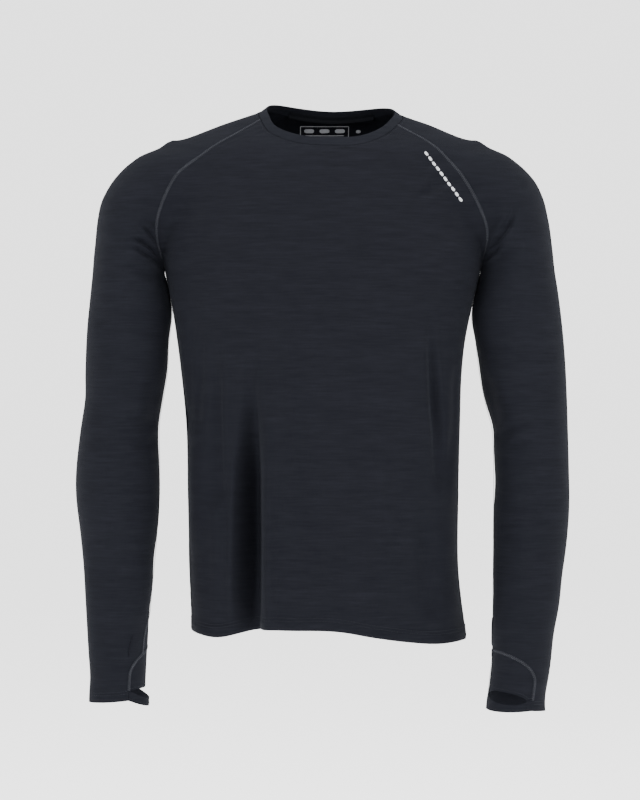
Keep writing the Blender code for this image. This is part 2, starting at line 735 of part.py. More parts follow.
def neck_tape():
    """Grid of the tape over the back neck seam, inside the neck, made from the neckband's points."""
    band = neckband()
    first = FRONT_ACROSS // 2 + len(sleeve_neck("left")) - 1
    last = first + BACK_ACROSS // 2
    seam = band[0, first:last + 1]
    up = band[2, first:last + 1] - seam
    up /= np.linalg.norm(up, axis=1, keepdims=True)
    inside = np.append(NECK_MIDDLE, 0) - seam
    inside[:, 2] = 0
    inside /= np.linalg.norm(inside, axis=1, keepdims=True)
    down = np.array((0, 0, -1.0))
    low = seam + inside * TAPE_OFF + down * TAPE_WIDTH / 2
    high = seam + inside * TAPE_OFF + up * TAPE_WIDTH / 2
    return np.stack([low, high])


def material(name, colour, roughness):
    """Plain cloth."""
    cloth = bpy.data.materials.new(name)
    cloth.use_nodes = True
    shader = cloth.node_tree.nodes["Principled BSDF"]
    shader.inputs["Base Color"].default_value = colour
    shader.inputs["Roughness"].default_value = roughness
    shader.inputs["Metallic"].default_value = 0.0
    return cloth


def wall(grid, form=None, closed=False, thick=JERSEY, outward=None):
    """The outer and inner faces of a piece. Seam edges are squared to the form, so that neighbours match."""
    out = normals(grid, closed)
    guide = gradient(form, grid) if form else outward(grid)
    if (out * guide).sum() < 0:
        out = -out
    if form:
        guide /= np.linalg.norm(guide, axis=-1, keepdims=True)
        if closed:
            out = guide
        else:
            out[-1] = guide[-1]
            out[:, 0], out[:, -1] = guide[:, 0], guide[:, -1]
    return grid, grid - out * thick


def piece(name, faces_of_cloth, closed=False, colour=CLOTH_COLOUR):
    """One cut piece as a closed solid between the outer and the inner face of its cloth."""
    outer, inner = faces_of_cloth
    rows, columns = outer.shape[:2]
    count = rows * columns
    spans = range(columns if closed else columns - 1)

    def at(row, column, layer):
        return layer * count + row * columns + column % columns

    quads = []
    for row in range(rows - 1):
        for c in spans:
            quads.append([at(row, c, 0), at(row, c + 1, 0), at(row + 1, c + 1, 0), at(row + 1, c, 0)])
            quads.append([at(row, c, 1), at(row + 1, c, 1), at(row + 1, c + 1, 1), at(row, c + 1, 1)])
    for c in spans:
        quads.append([at(0, c, 0), at(0, c, 1), at(0, c + 1, 1), at(0, c + 1, 0)])
        quads.append([at(rows - 1, c, 0), at(rows - 1, c + 1, 0), at(rows - 1, c + 1, 1), at(rows - 1, c, 1)])
    if not closed:
        last = columns - 1
        for row in range(rows - 1):
            quads.append([at(row, 0, 0), at(row + 1, 0, 0), at(row + 1, 0, 1), at(row, 0, 1)])
            quads.append([at(row, last, 0), at(row, last, 1), at(row + 1, last, 1), at(row + 1, last, 0)])
    mesh = bpy.data.meshes.new(name)
    mesh.from_pydata(np.concatenate([outer, inner]).reshape(-1, 3).tolist(), [], quads)
    body = bmesh.new()
    body.from_mesh(mesh)
    if body.calc_volume(signed=True) < 0:
        bmesh.ops.reverse_faces(body, faces=body.faces)
    body.to_mesh(mesh)
    body.free()
    mesh.shade_smooth()
    mesh.set_sharp_from_angle(angle=math.radians(50))
    mesh.materials.append(material(name, colour, 0.9))
    cloth = bpy.data.objects.new(name, mesh)
    bpy.context.scene.collection.objects.link(cloth)
    return cloth


def away_from(centre):
    """Directions away from an upright line, for pieces that wrap round it."""

    def directions(grid):
        out = grid - np.array((centre[0], centre[1], 0))
        out[..., 2] = 0
        return out

    return directions


def build():
    for thing in list(bpy.data.objects):
        bpy.data.objects.remove(thing)
    front = drawn_in(folded(body_panel("front"), FRONT_FOLDS))
    back = drawn_in(folded(body_panel("back"), BACK_FOLDS))
    piece("front_panel", wall(front, body_form))
    piece("back_panel", wall(back, body_form))
    for side in SIGN:
        tube = sleeve(side)
        tube[0] = drawn_in(tube[:2], closed=True)[0]
        piece(f"sleeve_{side}", wall(tube, sleeve_form(side), closed=True), closed=True)
        piece(f"thumb_gusset_{side}", wall(drawn_in(gusset_panel(side)), arm_form(side)))
        piece(f"thumb_loop_{side}", wall(drawn_in(thumb_loop(side)), arm_form(side)))
    neck = away_from(NECK_MIDDLE)
    piece("neckband", wall(neckband(), closed=True, thick=BAND_CLOTH, outward=neck), closed=True)
    piece("neck_tape", wall(neck_tape(), thick=TAPE_CLOTH, outward=neck), colour=TAPE_COLOUR)


build()
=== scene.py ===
"""How the base layer top looks: thin brushed jersey on the same form as its CAD model, with folds, seams
and stitches, a plain row of dashes in place of the chest print, a plain frame in place of the neck print,
light and camera.

Metres, +Z up, -Y the front and +X the wearer's left, as in the CAD model.
"""

import math

import bpy
import numpy as np
from mathutils.bvhtree import BVHTree
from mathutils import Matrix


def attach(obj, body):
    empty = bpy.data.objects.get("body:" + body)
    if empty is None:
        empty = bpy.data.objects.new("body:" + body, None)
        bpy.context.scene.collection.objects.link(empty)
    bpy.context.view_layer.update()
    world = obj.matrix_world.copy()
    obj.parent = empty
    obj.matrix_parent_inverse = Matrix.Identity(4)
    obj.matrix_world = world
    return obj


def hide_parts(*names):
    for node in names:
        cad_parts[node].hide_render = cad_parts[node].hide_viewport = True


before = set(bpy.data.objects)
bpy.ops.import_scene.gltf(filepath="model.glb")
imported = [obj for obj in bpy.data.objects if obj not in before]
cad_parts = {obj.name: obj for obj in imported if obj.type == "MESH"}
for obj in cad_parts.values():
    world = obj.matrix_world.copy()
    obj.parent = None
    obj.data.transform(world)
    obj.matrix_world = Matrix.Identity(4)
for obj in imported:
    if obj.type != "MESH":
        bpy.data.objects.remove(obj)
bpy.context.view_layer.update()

# Cloth and seams
JERSEY = 0.0012
BAND_CLOTH = 0.0020
TAPE_CLOTH = 0.0010
SEAM_GAP = 0.0003

# Neckband and the tape inside the back neck
BAND_WIDTH = 0.0125
TAPE_WIDTH = 0.0100
# How far inside the neck seam the tape lies, clear of the band's thicker cloth
TAPE_OFF = 0.0033

# The back's grid starts at least this far behind the middle, so that it settles on the right side
BACK_START = 0.03

# Grid of each piece: cells across or around, and cells up or along
RAGLAN_CELLS, SIDE_CELLS = 8, 12
FRONT_ACROSS, BACK_ACROSS = 34, 18
SLEEVE_AROUND = 20
YOKE_RINGS, ARM_RINGS, CUFF_RINGS = 8, 9, 4
GUSSET_ROWS = 4
LOOP_CELLS, LOOP_ROWS = 8, 8
# How many times finer the cloth is than the cells above: across the front, across the back, and elsewhere
FRONT_FINE, BACK_FINE, FINE = 5, 9, 9
# Rows in the lowest part of the body, which holds the turned-up hem
HEM_ROWS = 26
# Where the front's columns are crowded together for its folds, from 0 at the wearer's right to 1 at the left
FOLD_SPOTS = (0.30, 0.84)

# How much wider apart the sleeve's columns are beside the armpit, in degrees, and the lowest and the
# highest point of the slanted ring that guides its upper rings
ARMPIT_WIDEN = 26
CROWN_RING = (-0.225, -0.075)

# Level sections of the torso
TORSO = np.array((
    # z, right, left, front, back, square
    (-0.720, -0.174, 0.186, -0.115, 0.117, 2.4),
    (-0.660, -0.175, 0.179, -0.113, 0.113, 2.4),
    (-0.600, -0.177, 0.172, -0.111, 0.108, 2.4),
    (-0.500, -0.179, 0.171, -0.109, 0.102, 2.4),
    (-0.400, -0.181, 0.173, -0.111, 0.103, 2.4),
    (-0.340, -0.187, 0.175, -0.114, 0.107, 2.4),
    (-0.300, -0.192, 0.179, -0.117, 0.111, 2.4),
    (-0.255, -0.199, 0.188, -0.119, 0.115, 2.4),
    (-0.230, -0.204, 0.194, -0.118, 0.117, 2.4),
    (-0.205, -0.209, 0.200, -0.117, 0.118, 2.4),
    (-0.160, -0.218, 0.211, -0.110, 0.118, 2.3),
    (-0.120, -0.227, 0.221, -0.100, 0.114, 2.2),
    (-0.080, -0.230, 0.224, -0.086, 0.108, 2.1),
    (-0.052, -0.218, 0.213, -0.072, 0.101, 2.0),
    (-0.039, -0.197, 0.193, -0.059, 0.096, 2.0),
    (-0.026, -0.166, 0.163, -0.044, 0.090, 2.0),
    (-0.013, -0.134, 0.132, -0.029, 0.083, 2.0),
    (-0.004, -0.108, 0.106, -0.018, 0.076, 2.0),
    (0.010, -0.068, 0.070, -0.003, 0.066, 2.0),
    (0.030, -0.030, 0.032, 0.010, 0.050, 2.0),
))

# Level sections of each sleeve, its reach measured away from the middle of the body
ARMS = {
    "left": np.array((
        # z, inner, outer, front, back
        (-0.800, 0.204, 0.282, -0.088, -0.014),
        (-0.760, 0.206, 0.280, -0.087, -0.012),
        (-0.730, 0.212, 0.285, -0.084, -0.008),
        (-0.700, 0.214, 0.289, -0.080, -0.002),
        (-0.650, 0.215, 0.297, -0.074, 0.010),
        (-0.600, 0.216, 0.305, -0.067, 0.024),
        (-0.550, 0.217, 0.312, -0.061, 0.038),
        (-0.500, 0.218, 0.316, -0.056, 0.050),
        (-0.440, 0.218, 0.316, -0.052, 0.058),
        (-0.410, 0.216, 0.315, -0.053, 0.059),
        (-0.380, 0.208, 0.314, -0.055, 0.059),
        (-0.340, 0.200, 0.312, -0.057, 0.060),
        (-0.300, 0.195, 0.309, -0.059, 0.061),
        (-0.255, 0.1895, 0.304, -0.061, 0.064),
        (-0.230, 0.1955, 0.301, -0.063, 0.067),
        (-0.205, 0.2015, 0.297, -0.066, 0.071),
        (-0.180, 0.2000, 0.294, -0.070, 0.076),
        (-0.140, 0.1860, 0.289, -0.074, 0.081),
        (-0.110, 0.165, 0.281, -0.072, 0.081),
        (-0.085, 0.148, 0.267, -0.063, 0.074),
        (-0.067, 0.156, 0.248, -0.048, 0.060),
        (-0.055, 0.170, 0.228, -0.030, 0.042),
        (-0.046, 0.192, 0.202, -0.004, 0.016),
    )),
    "right": np.array((
        # z, inner, outer, front, back
        (-0.800, 0.232, 0.304, -0.078, -0.006),
        (-0.755, 0.233, 0.304, -0.077, -0.004),
        (-0.730, 0.232, 0.303, -0.074, 0.000),
        (-0.700, 0.231, 0.305, -0.070, 0.006),
        (-0.650, 0.228, 0.309, -0.065, 0.017),
        (-0.600, 0.224, 0.313, -0.061, 0.029),
        (-0.550, 0.220, 0.318, -0.057, 0.042),
        (-0.500, 0.217, 0.324, -0.054, 0.054),
        (-0.460, 0.217, 0.325, -0.052, 0.060),
        (-0.400, 0.217, 0.318, -0.053, 0.061),
        (-0.370, 0.212, 0.314, -0.055, 0.061),
        (-0.340, 0.207, 0.313, -0.057, 0.061),
        (-0.300, 0.205, 0.312, -0.059, 0.062),
        (-0.255, 0.2010, 0.308, -0.061, 0.065),
        (-0.230, 0.2055, 0.306, -0.063, 0.068),
        (-0.205, 0.2105, 0.303, -0.066, 0.071),
        (-0.180, 0.2085, 0.301, -0.070, 0.076),
        (-0.140, 0.1930, 0.297, -0.074, 0.081),
        (-0.110, 0.172, 0.289, -0.072, 0.081),
        (-0.085, 0.153, 0.274, -0.063, 0.074),
        (-0.067, 0.161, 0.254, -0.048, 0.060),
        (-0.055, 0.175, 0.234, -0.030, 0.042),
        (-0.046, 0.197, 0.207, -0.004, 0.016),
    )),
}
SIGN = {"left": 1.0, "right": -1.0}

# The sleeve melts into the torso over the shoulder, and parts from it below the armpit.
ARMPIT = -0.2025
MELT = (0.004, 0.038)
MELT_BAND = (-0.200, -0.110)
PART_BAND = (-0.208, -0.196)
PART_REACH = 0.060
# Heights over which a sleeve's own form takes up the torso, above the armpit
TAKE_UP_BAND = (-0.203, -0.165)

# Turn of the side seams towards the front, at the hem and at the armpit, in degrees
SIDE_SEAM_TURN = (9.0, 1.5)

# Neck seam, all the way round from the middle of the front by the wearer's left.
NECK = np.array((
    # x, y, z
    (0.008, -0.070, -0.0495),
    (0.044, -0.066, -0.0475),
    (0.072, -0.051, -0.0360),
    (0.093, -0.024, -0.0165),
    (0.101, 0.006, -0.0040),
    (0.092, 0.037, 0.0010),
    (0.066, 0.060, 0.0000),
    (0.008, 0.073, -0.0050),
    (-0.052, 0.062, 0.0020),
    (-0.080, 0.036, 0.0030),
    (-0.088, 0.008, -0.0020),
    (-0.085, -0.014, -0.0105),
    (-0.072, -0.044, -0.0310),
    (-0.040, -0.064, -0.0455),
))
NECK_MIDDLE = np.array((0.0065, 0.006))
# The rows of NECK where the raglan seams start
FRONT_LEFT, BACK_LEFT, BACK_RIGHT, FRONT_RIGHT = 3, 6, 8, 11

# Raglan seams between the neck and the armpit, both ends left out
RAGLANS = {
    ("left", "front"): np.array((
        # x, y, z
        (0.137, -0.045, -0.050),
        (0.165, -0.060, -0.077),
        (0.182, -0.070, -0.102),
        (0.1945, -0.073, -0.130),
        (0.203, -0.061, -0.154),
        (0.2055, -0.044, -0.171),
        (0.2045, -0.024, -0.187),
    )),
    ("left", "back"): np.array((
        (0.108, 0.076, -0.036),
        (0.146, 0.090, -0.075),
        (0.176, 0.092, -0.112),
        (0.195, 0.082, -0.142),
        (0.204, 0.058, -0.166),
        (0.2050, 0.030, -0.187),
    )),
    ("right", "front"): np.array((
        (-0.104, -0.028, -0.018),
        (-0.140, -0.048, -0.041),
        (-0.171, -0.060, -0.065),
        (-0.191, -0.068, -0.086),
        (-0.203, -0.074, -0.110),
        (-0.2105, -0.073, -0.135),
        (-0.2145, -0.060, -0.157),
        (-0.2145, -0.042, -0.175),
        (-0.2130, -0.022, -0.190),
    )),
    ("right", "back"): np.array((
        (-0.100, 0.078, -0.036),
        (-0.142, 0.091, -0.075),
        (-0.177, 0.093, -0.112),
        (-0.199, 0.082, -0.142),
        (-0.211, 0.058, -0.166),
        (-0.2135, 0.030, -0.188),
    )),
}

# Height of the hem below the origin, by distance across
FRONT_HEM = np.array((
    # x, z
    (-0.180, -0.671),
    (-0.142, -0.6765),
    (-0.105, -0.667),
    (-0.040, -0.665),
    (0.020, -0.667),
    (0.060, -0.674),
    (0.100, -0.680),
    (0.140, -0.684),
    (0.185, -0.682),
))
BACK_HEM = np.array((
    (-0.180, -0.671),
    (-0.090, -0.679),
    (0.000, -0.681),
    (0.090, -0.682),
    (0.185, -0.682),
))

# The largest folds: where each starts, its foot, the half widths of its two flanks and its depth there
FRONT_FOLDS = np.array((
    # x_top, z_top, x_foot, z_foot, right_flank, left_flank, depth
    (-0.093, -0.270, -0.098, -0.760, 0.036, 0.013, 0.034),
    (-0.158, -0.260, -0.172, -0.420, 0.012, 0.012, 0.006),
    (-0.137, -0.280, -0.142, -0.520, 0.012, 0.010, 0.009),
    (0.128, -0.260, 0.152, -0.500, 0.012, 0.012, 0.009),
    (0.122, -0.480, 0.136, -0.660, 0.020, 0.018, 0.006),
))
BACK_FOLDS = np.array((
    (0.085, -0.300, 0.095, -0.760, 0.018, 0.024, 0.016),
    (-0.100, -0.360, -0.110, -0.740, 0.020, 0.016, 0.012),
    (-0.010, -0.420, 0.000, -0.740, 0.020, 0.020, 0.007),
))

# The thumb gusset of each cuff: the turns round the sleeve, from its inner side by the front, at which it
# starts and ends, the heights of the sleeve's end and of the arch, and the height and tilt of the hole
GUSSETS = {
    "left": dict(turn=(5, 118), end=-0.769, foot=-0.737, top=-0.694, hole=0.013, tilt=0.0075),
    "right": dict(turn=(-52, 62), end=-0.757, foot=-0.727, top=-0.688, hole=0.004, tilt=0.0),
}
LOOP_WIDTH = 0.0105
# How much lower the sleeve's end hangs behind than beside the thumb gusset
CUFF_DROP = 0.004
# Reach of a wrist from its middle, and how far the rings at the top of the cuff keep from the gusset
WRIST_REACH = 0.0375
CUFF_MARGIN = 0.022
# How far each thumb loop stands out from the wrist and sags below the sleeve's end
LOOP_SLACK = {"left": (0.0015, 0.0015), "right": (0.0055, 0.0090)}

# Creases, pressed in where the cloth faces the front or the back: where each starts and ends, how far its
# middle bows to the left of that way, its half width and its depth. A ridge has a negative depth.
FRONT_CREASES = np.array((
    # x1, z1, x2, z2, bow, width, depth
    # from the wearer's left armpit
    (0.243, -0.131, 0.200, -0.186, 0.004, 0.0032, 0.0052),
    (0.233, -0.134, 0.212, -0.166, 0.002, 0.0026, 0.0030),
    (0.223, -0.174, 0.201, -0.192, 0.002, 0.0032, 0.0044),
    (0.250, -0.165, 0.208, -0.200, 0.004, 0.0060, 0.0014),
    # from the wearer's right armpit
    (-0.234, -0.151, -0.213, -0.176, 0.002, 0.0030, 0.0042),
    (-0.246, -0.166, -0.210, -0.193, 0.003, 0.0032, 0.0050),
    (-0.250, -0.177, -0.208, -0.203, 0.003, 0.0034, 0.0036),
    (-0.262, -0.200, -0.216, -0.222, 0.004, 0.0060, 0.0016),
    # wearer's left elbow and forearm
    (0.218, -0.427, 0.268, -0.403, 0.006, 0.0060, 0.0030),
    (0.199, -0.333, 0.220, -0.415, 0.002, 0.0100, 0.0030),
    (0.222, -0.452, 0.280, -0.440, -0.006, 0.0080, 0.0016),
    (0.225, -0.530, 0.290, -0.505, 0.008, 0.0100, 0.0012),
    (0.222, -0.636, 0.268, -0.618, 0.005, 0.0080, 0.0012),
    (0.262, -0.250, 0.300, -0.300, 0.004, 0.0120, 0.0012),
    # wearer's right elbow and forearm
    (-0.216, -0.396, -0.268, -0.414, 0.006, 0.0080, 0.0030),
    (-0.216, -0.420, -0.252, -0.432, 0.004, 0.0060, 0.0020),
    (-0.218, -0.350, -0.226, -0.400, 0.000, 0.0090, 0.0022),
    (-0.232, -0.536, -0.292, -0.522, -0.008, 0.0100, 0.0012),
    (-0.236, -0.628, -0.290, -0.616, -0.006, 0.0080, 0.0012),
    (-0.300, -0.250, -0.262, -0.300, -0.004, 0.0120, 0.0012),
    # chest, beside the left raglan seam
    (0.121, -0.078, 0.160, -0.068, 0.003, 0.0046, 0.0020),
    (0.128, -0.100, 0.166, -0.083, 0.003, 0.0046, 0.0020),
    (0.112, -0.120, 0.173, -0.092, 0.004, 0.0058, 0.0034),
    (-0.184, -0.134, -0.130, -0.170, -0.008, 0.0120, 0.0012),
    # belly, from the wearer's left to right
    (0.166, -0.310, 0.160, -0.470, 0.003, 0.0055, 0.0024),
    (0.133, -0.262, 0.146, -0.450, -0.004, 0.0050, 0.0034),
    (0.146, -0.330, 0.142, -0.520, 0.003, 0.0060, -0.0016),
    (0.086, -0.400, 0.094, -0.640, 0.004, 0.0110, 0.0018),
    (0.046, -0.360, 0.052, -0.560, -0.004, 0.0100, 0.0014),
    (0.066, -0.530, 0.060, -0.668, 0.003, 0.0100, 0.0018),
    (0.024, -0.280, 0.030, -0.470, 0.005, 0.0110, 0.0014),
    (0.004, -0.530, -0.002, -0.662, 0.003, 0.0110, 0.0018),
    (-0.034, -0.300, -0.028, -0.590, -0.004, 0.0100, 0.0016),
    (-0.062, -0.270, -0.064, -0.664, 0.002, 0.0110, -0.0030),
    (-0.118, -0.300, -0.124, -0.470, 0.003, 0.0070, 0.0024),
    (-0.150, -0.420, -0.150, -0.660, -0.004, 0.0100, 0.0026),
    (-0.166, -0.250, -0.176, -0.420, -0.005, 0.0060, 0.0024),
    # the bottom of the deep fold, and the sharp lip beside it
    (-0.0930, -0.390, -0.0960, -0.690, 0.000, 0.0110, 0.0160),
    (-0.0750, -0.410, -0.0725, -0.690, 0.000, 0.0070, -0.0045),
    (-0.1160, -0.440, -0.1200, -0.660, 0.002, 0.0080, -0.0045),
))
BACK_CREASES = np.array((
    # from both armpits
    (0.250, -0.140, 0.204, -0.190, -0.004, 0.0035, 0.0034),
    (0.240, -0.170, 0.206, -0.200, -0.003, 0.0035, 0.0028),
    (-0.250, -0.150, -0.212, -0.190, 0.004, 0.0035, 0.0034),
    (-0.262, -0.180, -0.212, -0.204, 0.003, 0.0035, 0.0030),
    (0.192, -0.200, 0.120, -0.262, -0.006, 0.0090, 0.0022),
    (-0.196, -0.205, -0.130, -0.250, 0.006, 0.0090, 0.0022),
    # across the shoulder blades
    (0.120, -0.120, 0.030, -0.160, -0.010, 0.0140, 0.0016),
    (-0.130, -0.130, -0.040, -0.165, 0.010, 0.0140, 0.0016),
    # small of the back
    (0.150, -0.330, 0.070, -0.352, 0.010, 0.0100, 0.0030),
    (-0.150, -0.310, -0.060, -0.340, -0.010, 0.0100, 0.0030),
    (0.110, -0.385, 0.020, -0.392, 0.008, 0.0090, 0.0022),
    (-0.120, -0.372, -0.020, -0.388, -0.008, 0.0090, 0.0024),
    (0.060, -0.430, 0.064, -0.670, 0.004, 0.0110, 0.0024),
    (-0.060, -0.420, -0.056, -0.670, -0.004, 0.0120, 0.0026),
    (0.130, -0.440, 0.136, -0.660, 0.004, 0.0100, 0.0024),
    (-0.146, -0.440, -0.150, -0.650, -0.004, 0.0100, 0.0022),
    # elbows and forearms
    (0.222, -0.372, 0.300, -0.390, -0.008, 0.0090, 0.0026),
    (0.224, -0.420, 0.304, -0.424, -0.006, 0.0080, 0.0020),
    (0.228, -0.560, 0.290, -0.580, -0.006, 0.0100, 0.0014),
    (-0.222, -0.366, -0.304, -0.386, 0.008, 0.0090, 0.0026),
    (-0.226, -0.412, -0.310, -0.424, 0.006, 0.0080, 0.0020),
    (-0.236, -0.580, -0.296, -0.566, 0.006, 0.0100, 0.0014),
))

# The turned-up hem, and how far its two rows of stitches lie above the edge
HEM_DEPTH = 0.0175
HEM_ROWS_OF_STITCHES = (0.0125, 0.0165)
# Rows of stitches above a cuff's end, and the step of those along the lips of a thumb hole
CUFF_ROWS_OF_STITCHES = (0.009, 0.0125)
LIP_STITCH = 0.0026

# How near to a seam the creases fade out, and the height and width of the ridge along a flat seam
SEAM_CALM = (0.001, 0.012)
SEAM_RIDGE, SEAM_RIDGE_WIDTH = 0.00045, 0.0026
# Depth of the small gathers beside a seam and how far they reach, and of the slow waves of the cloth
PUCKER_DEPTH, PUCKER_REACH = 0.0007, 0.018
UPRIGHT_WAVES, LEVEL_WAVES = 0.0011, 0.0005
# How far the turned-up hem stands out, the dent of its stitches and the rolled edge below them
HEM_LIFT = 0.0006
DENT, DENT_WIDTH = 0.0005, 0.0011
EDGE_ROLL, EDGE_ROLL_HEIGHT = 0.0009, 0.0012

# Length across a flat seam and step of its stitches, step of a plain row of stitches, and the two threads
FLAT_STITCH, FLAT_STEP, FLAT_THREAD = 0.0042, 0.00125, 0.00062
ROW_STEP, ROW_THREAD, ROW_LIFT = 0.0034, 0.00060, 0.00018

# How far a print stands off its cloth, and its thickness
PRINT_LIFT, PRINT_THICK = 0.0002, 0.00025

# Plain dashes beside the left raglan seam: x and z of the two ends of the row, count and size
DASHES_FROM, DASHES_TO = (0.1255, -0.0560), (0.1735, -0.1215)
DASH_COUNT, DASH_LENGTH, DASH_WIDTH = 10, 0.0062, 0.0034

# Plain frame inside the back neck: the middle of it, its size, and the width of its lines
FRAME_MIDDLE, FRAME_SIZE, FRAME_LINE = (-0.002, -0.0190), (0.064, 0.017), 0.0009
# Blocks in the frame: their shares of the way across it, length, width and height above its middle
FRAME_BLOCKS = (0.18, 0.5, 0.82)
BLOCK_LENGTH, BLOCK_WIDTH, BLOCK_RISE = 0.0130, 0.0050, 0.0028
# Lines below them: how far each lies below the middle and stops short of the frame's right side
FRAME_LINES = ((0.0030, 0.006), (0.0055, 0.018))
FRAME_INSET, FRAME_LINE_WIDTH = 0.006, 0.0008


def curve_through(knots, rows, at):
    """Rows read at places between rising knots, on smooth cubic pieces."""
    knots, rows, at = (np.asarray(a, float) for a in (knots, rows, at))
    slopes = np.gradient(rows, knots, axis=0)
    at = np.clip(at, knots[0], knots[-1])
    piece = np.clip(np.searchsorted(knots, at, side="right") - 1, 0, len(knots) - 2)
    width = (knots[piece + 1] - knots[piece])[..., None]
    t = (at - knots[piece])[..., None] / width
    return (
        (1 + 2 * t) * (1 - t) ** 2 * rows[piece]
        + t * (1 - t) ** 2 * width * slopes[piece]
        + t**2 * (3 - 2 * t) * rows[piece + 1]
        + t**2 * (t - 1) * width * slopes[piece + 1]
    )


def ease(value, low, high):
    """0 below low and 1 above high, with a smooth rise between."""
    t = np.clip((value - low) / (high - low), 0, 1)
    return t * t * (3 - 2 * t)


def along(points, count):
    """count + 1 points at even distances on a smooth curve through points."""
    points = np.asarray(points, float)
    steps = np.linalg.norm(np.diff(points, axis=0), axis=1)
    knots = np.concatenate([[0], np.cumsum(steps)])
    fine = curve_through(knots, points, np.linspace(0, knots[-1], 400))
    run = np.concatenate([[0], np.cumsum(np.linalg.norm(np.diff(fine, axis=0), axis=1))])
    places = np.linspace(0, run[-1], count + 1)
    return np.stack([np.interp(places, run, fine[:, axis]) for axis in range(3)], axis=1)


def section_distance(points, centre, half, square):
    """Rough distance from level superellipse sections, negative inside."""
    share = np.abs(points[..., :2] - centre) / half + 1e-9
    power = square[..., None]
    reach = (share**power).sum(-1) ** (1 / square)
    slope = (share / reach[..., None]) ** (power - 1) / half
    return (reach - 1) / np.linalg.norm(slope, axis=-1)


def torso_section(z):
    """Centre, half sizes and squareness of the torso at heights z."""
    right, left, front, back, square = np.moveaxis(curve_through(TORSO[:, 0], TORSO[:, 1:], z), -1, 0)
    centre = np.stack([(right + left) / 2, (front + back) / 2], -1)
    half = np.stack([(left - right) / 2, (back - front) / 2], -1)
    return centre, half, square


def arm_section(side, z):
    """Centre and half sizes of a sleeve at heights z."""
    table = ARMS[side]
    inner, outer, front, back = np.moveaxis(curve_through(table[:, 0], table[:, 1:], z), -1, 0)
    centre = np.stack([SIGN[side] * (inner + outer) / 2, (front + back) / 2], -1)
    half = np.stack([(outer - inner) / 2, (back - front) / 2], -1)
    return centre, half


def torso_distance(points):
    centre, half, square = torso_section(points[..., 2])
    return section_distance(points, centre, half, square)


def arm_distance(side, points):
    centre, half = arm_section(side, points[..., 2])
    dome = np.maximum(points[..., 2] - ARMS[side][-1, 0], 0)
    return section_distance(points, centre, half, np.full(points.shape[:-1], 2.0)) + dome


def melted(a, b, z):
    """The nearer of two surfaces, run into each other over the shoulder."""
    width = MELT[0] + (MELT[1] - MELT[0]) * ease(z, *MELT_BAND)
    share = np.clip(0.5 + (b - a) / (2 * width), 0, 1)
    return b + (a - b) * share - width * share * (1 - share)


def body_form(points):
    """Distance from the surface that the front and the back lie on."""
    z = points[..., 2]
    arms = np.minimum(arm_distance("left", points), arm_distance("right", points))
    return melted(torso_distance(points), arms + PART_REACH * (1 - ease(z, *PART_BAND)), z)


def sleeve_form(side):
    """Distance from the surface that one sleeve lies on."""

    def distance(points):
        z = points[..., 2]
        torso = torso_distance(points) + PART_REACH * (1 - ease(z, *TAKE_UP_BAND))
        return melted(torso, arm_distance(side, points), z)

    return distance


def arm_form(side):
    """Distance from the surface of one sleeve alone, for what is set into its cuff."""

    def distance(points):
        return arm_distance(side, points)

    return distance


def gradient(form, points, step=0.0005):
    """Slope of a form at points."""
    moves = step * np.eye(3)
    return np.stack([form(points + m) - form(points - m) for m in moves], -1) / (2 * step)


def laid_on(form, points, level=0.0, rounds=8):
    """Points moved straight out or in until they lie on a form."""
    for _ in range(rounds):
        slope = gradient(form, points)
        size = np.maximum((slope**2).sum(-1), 0.05)
        move = (form(points) - level) / size
        points = points - slope * np.clip(move, -0.02, 0.02)[..., None]
    return points


def neck_arc(first, last, count):
    """Points on the neck seam from one row of NECK to another, always by the wearer's left."""
    rows = len(NECK)
    wrapped = np.concatenate([NECK] * 3)
    steps = np.linalg.norm(np.diff(wrapped, axis=0), axis=1)
    knots = np.concatenate([[0], np.cumsum(steps)])
    last += rows * (last <= first)
    places = np.linspace(knots[rows + first], knots[rows + last], count + 1)
    return laid_on(body_form, curve_through(knots, wrapped, places))


def side_turn(side, z):
    """Turn of a side seam at heights z, from the wearer's left by the front."""
    low = FRONT_HEM[-1 if side == "left" else 0, 1]
    at_hem, at_armpit = SIDE_SEAM_TURN
    turn = np.radians(at_hem + (at_armpit - at_hem) * ease(z, low, ARMPIT))
    return turn if side == "left" else math.pi - turn


def torso_point(turn, z):
    """Point on the torso at a turn from the wearer's left by the front, in radians, at height z."""
    centre, half, square = torso_section(z)
    across, forward = np.cos(turn), -np.sin(turn)
    power = (2 / square)[..., None]
    round_part = np.stack([across, forward], -1)
    level = centre + half * np.sign(round_part) * np.abs(round_part) ** power
    return np.concatenate([level, z[..., None]], -1)


def side_seam(side, shares):
    """Points up a side seam, at shares of the way from the hem to the armpit."""
    low = FRONT_HEM[-1 if side == "left" else 0, 1]
    z = low + (ARMPIT - low) * np.asarray(shares, float)
    return torso_point(side_turn(side, z), z)


def hem(face, places):
    """Points along the hem of the front or back, at places from 0 at the wearer's right to 1 at the left."""
    first, last = (side_turn(side, FRONT_HEM[row, 1]) for side, row in (("right", 0), ("left", -1)))
    if face == "front":
        turn = first + places * (last - first)
        table = FRONT_HEM
    else:
        turn = first + places * (last + 2 * math.pi - first)
        table = BACK_HEM
    x = torso_point(turn, np.full(places.shape, table[0, 1]))[:, 0]
    z = curve_through(table[:, 0], table[:, 1:], x)[:, 0]
    ends = (side_seam("right", [0])[0, 2], side_seam("left", [0])[0, 2])
    z[0], z[-1] = ends
    return torso_point(turn, z)


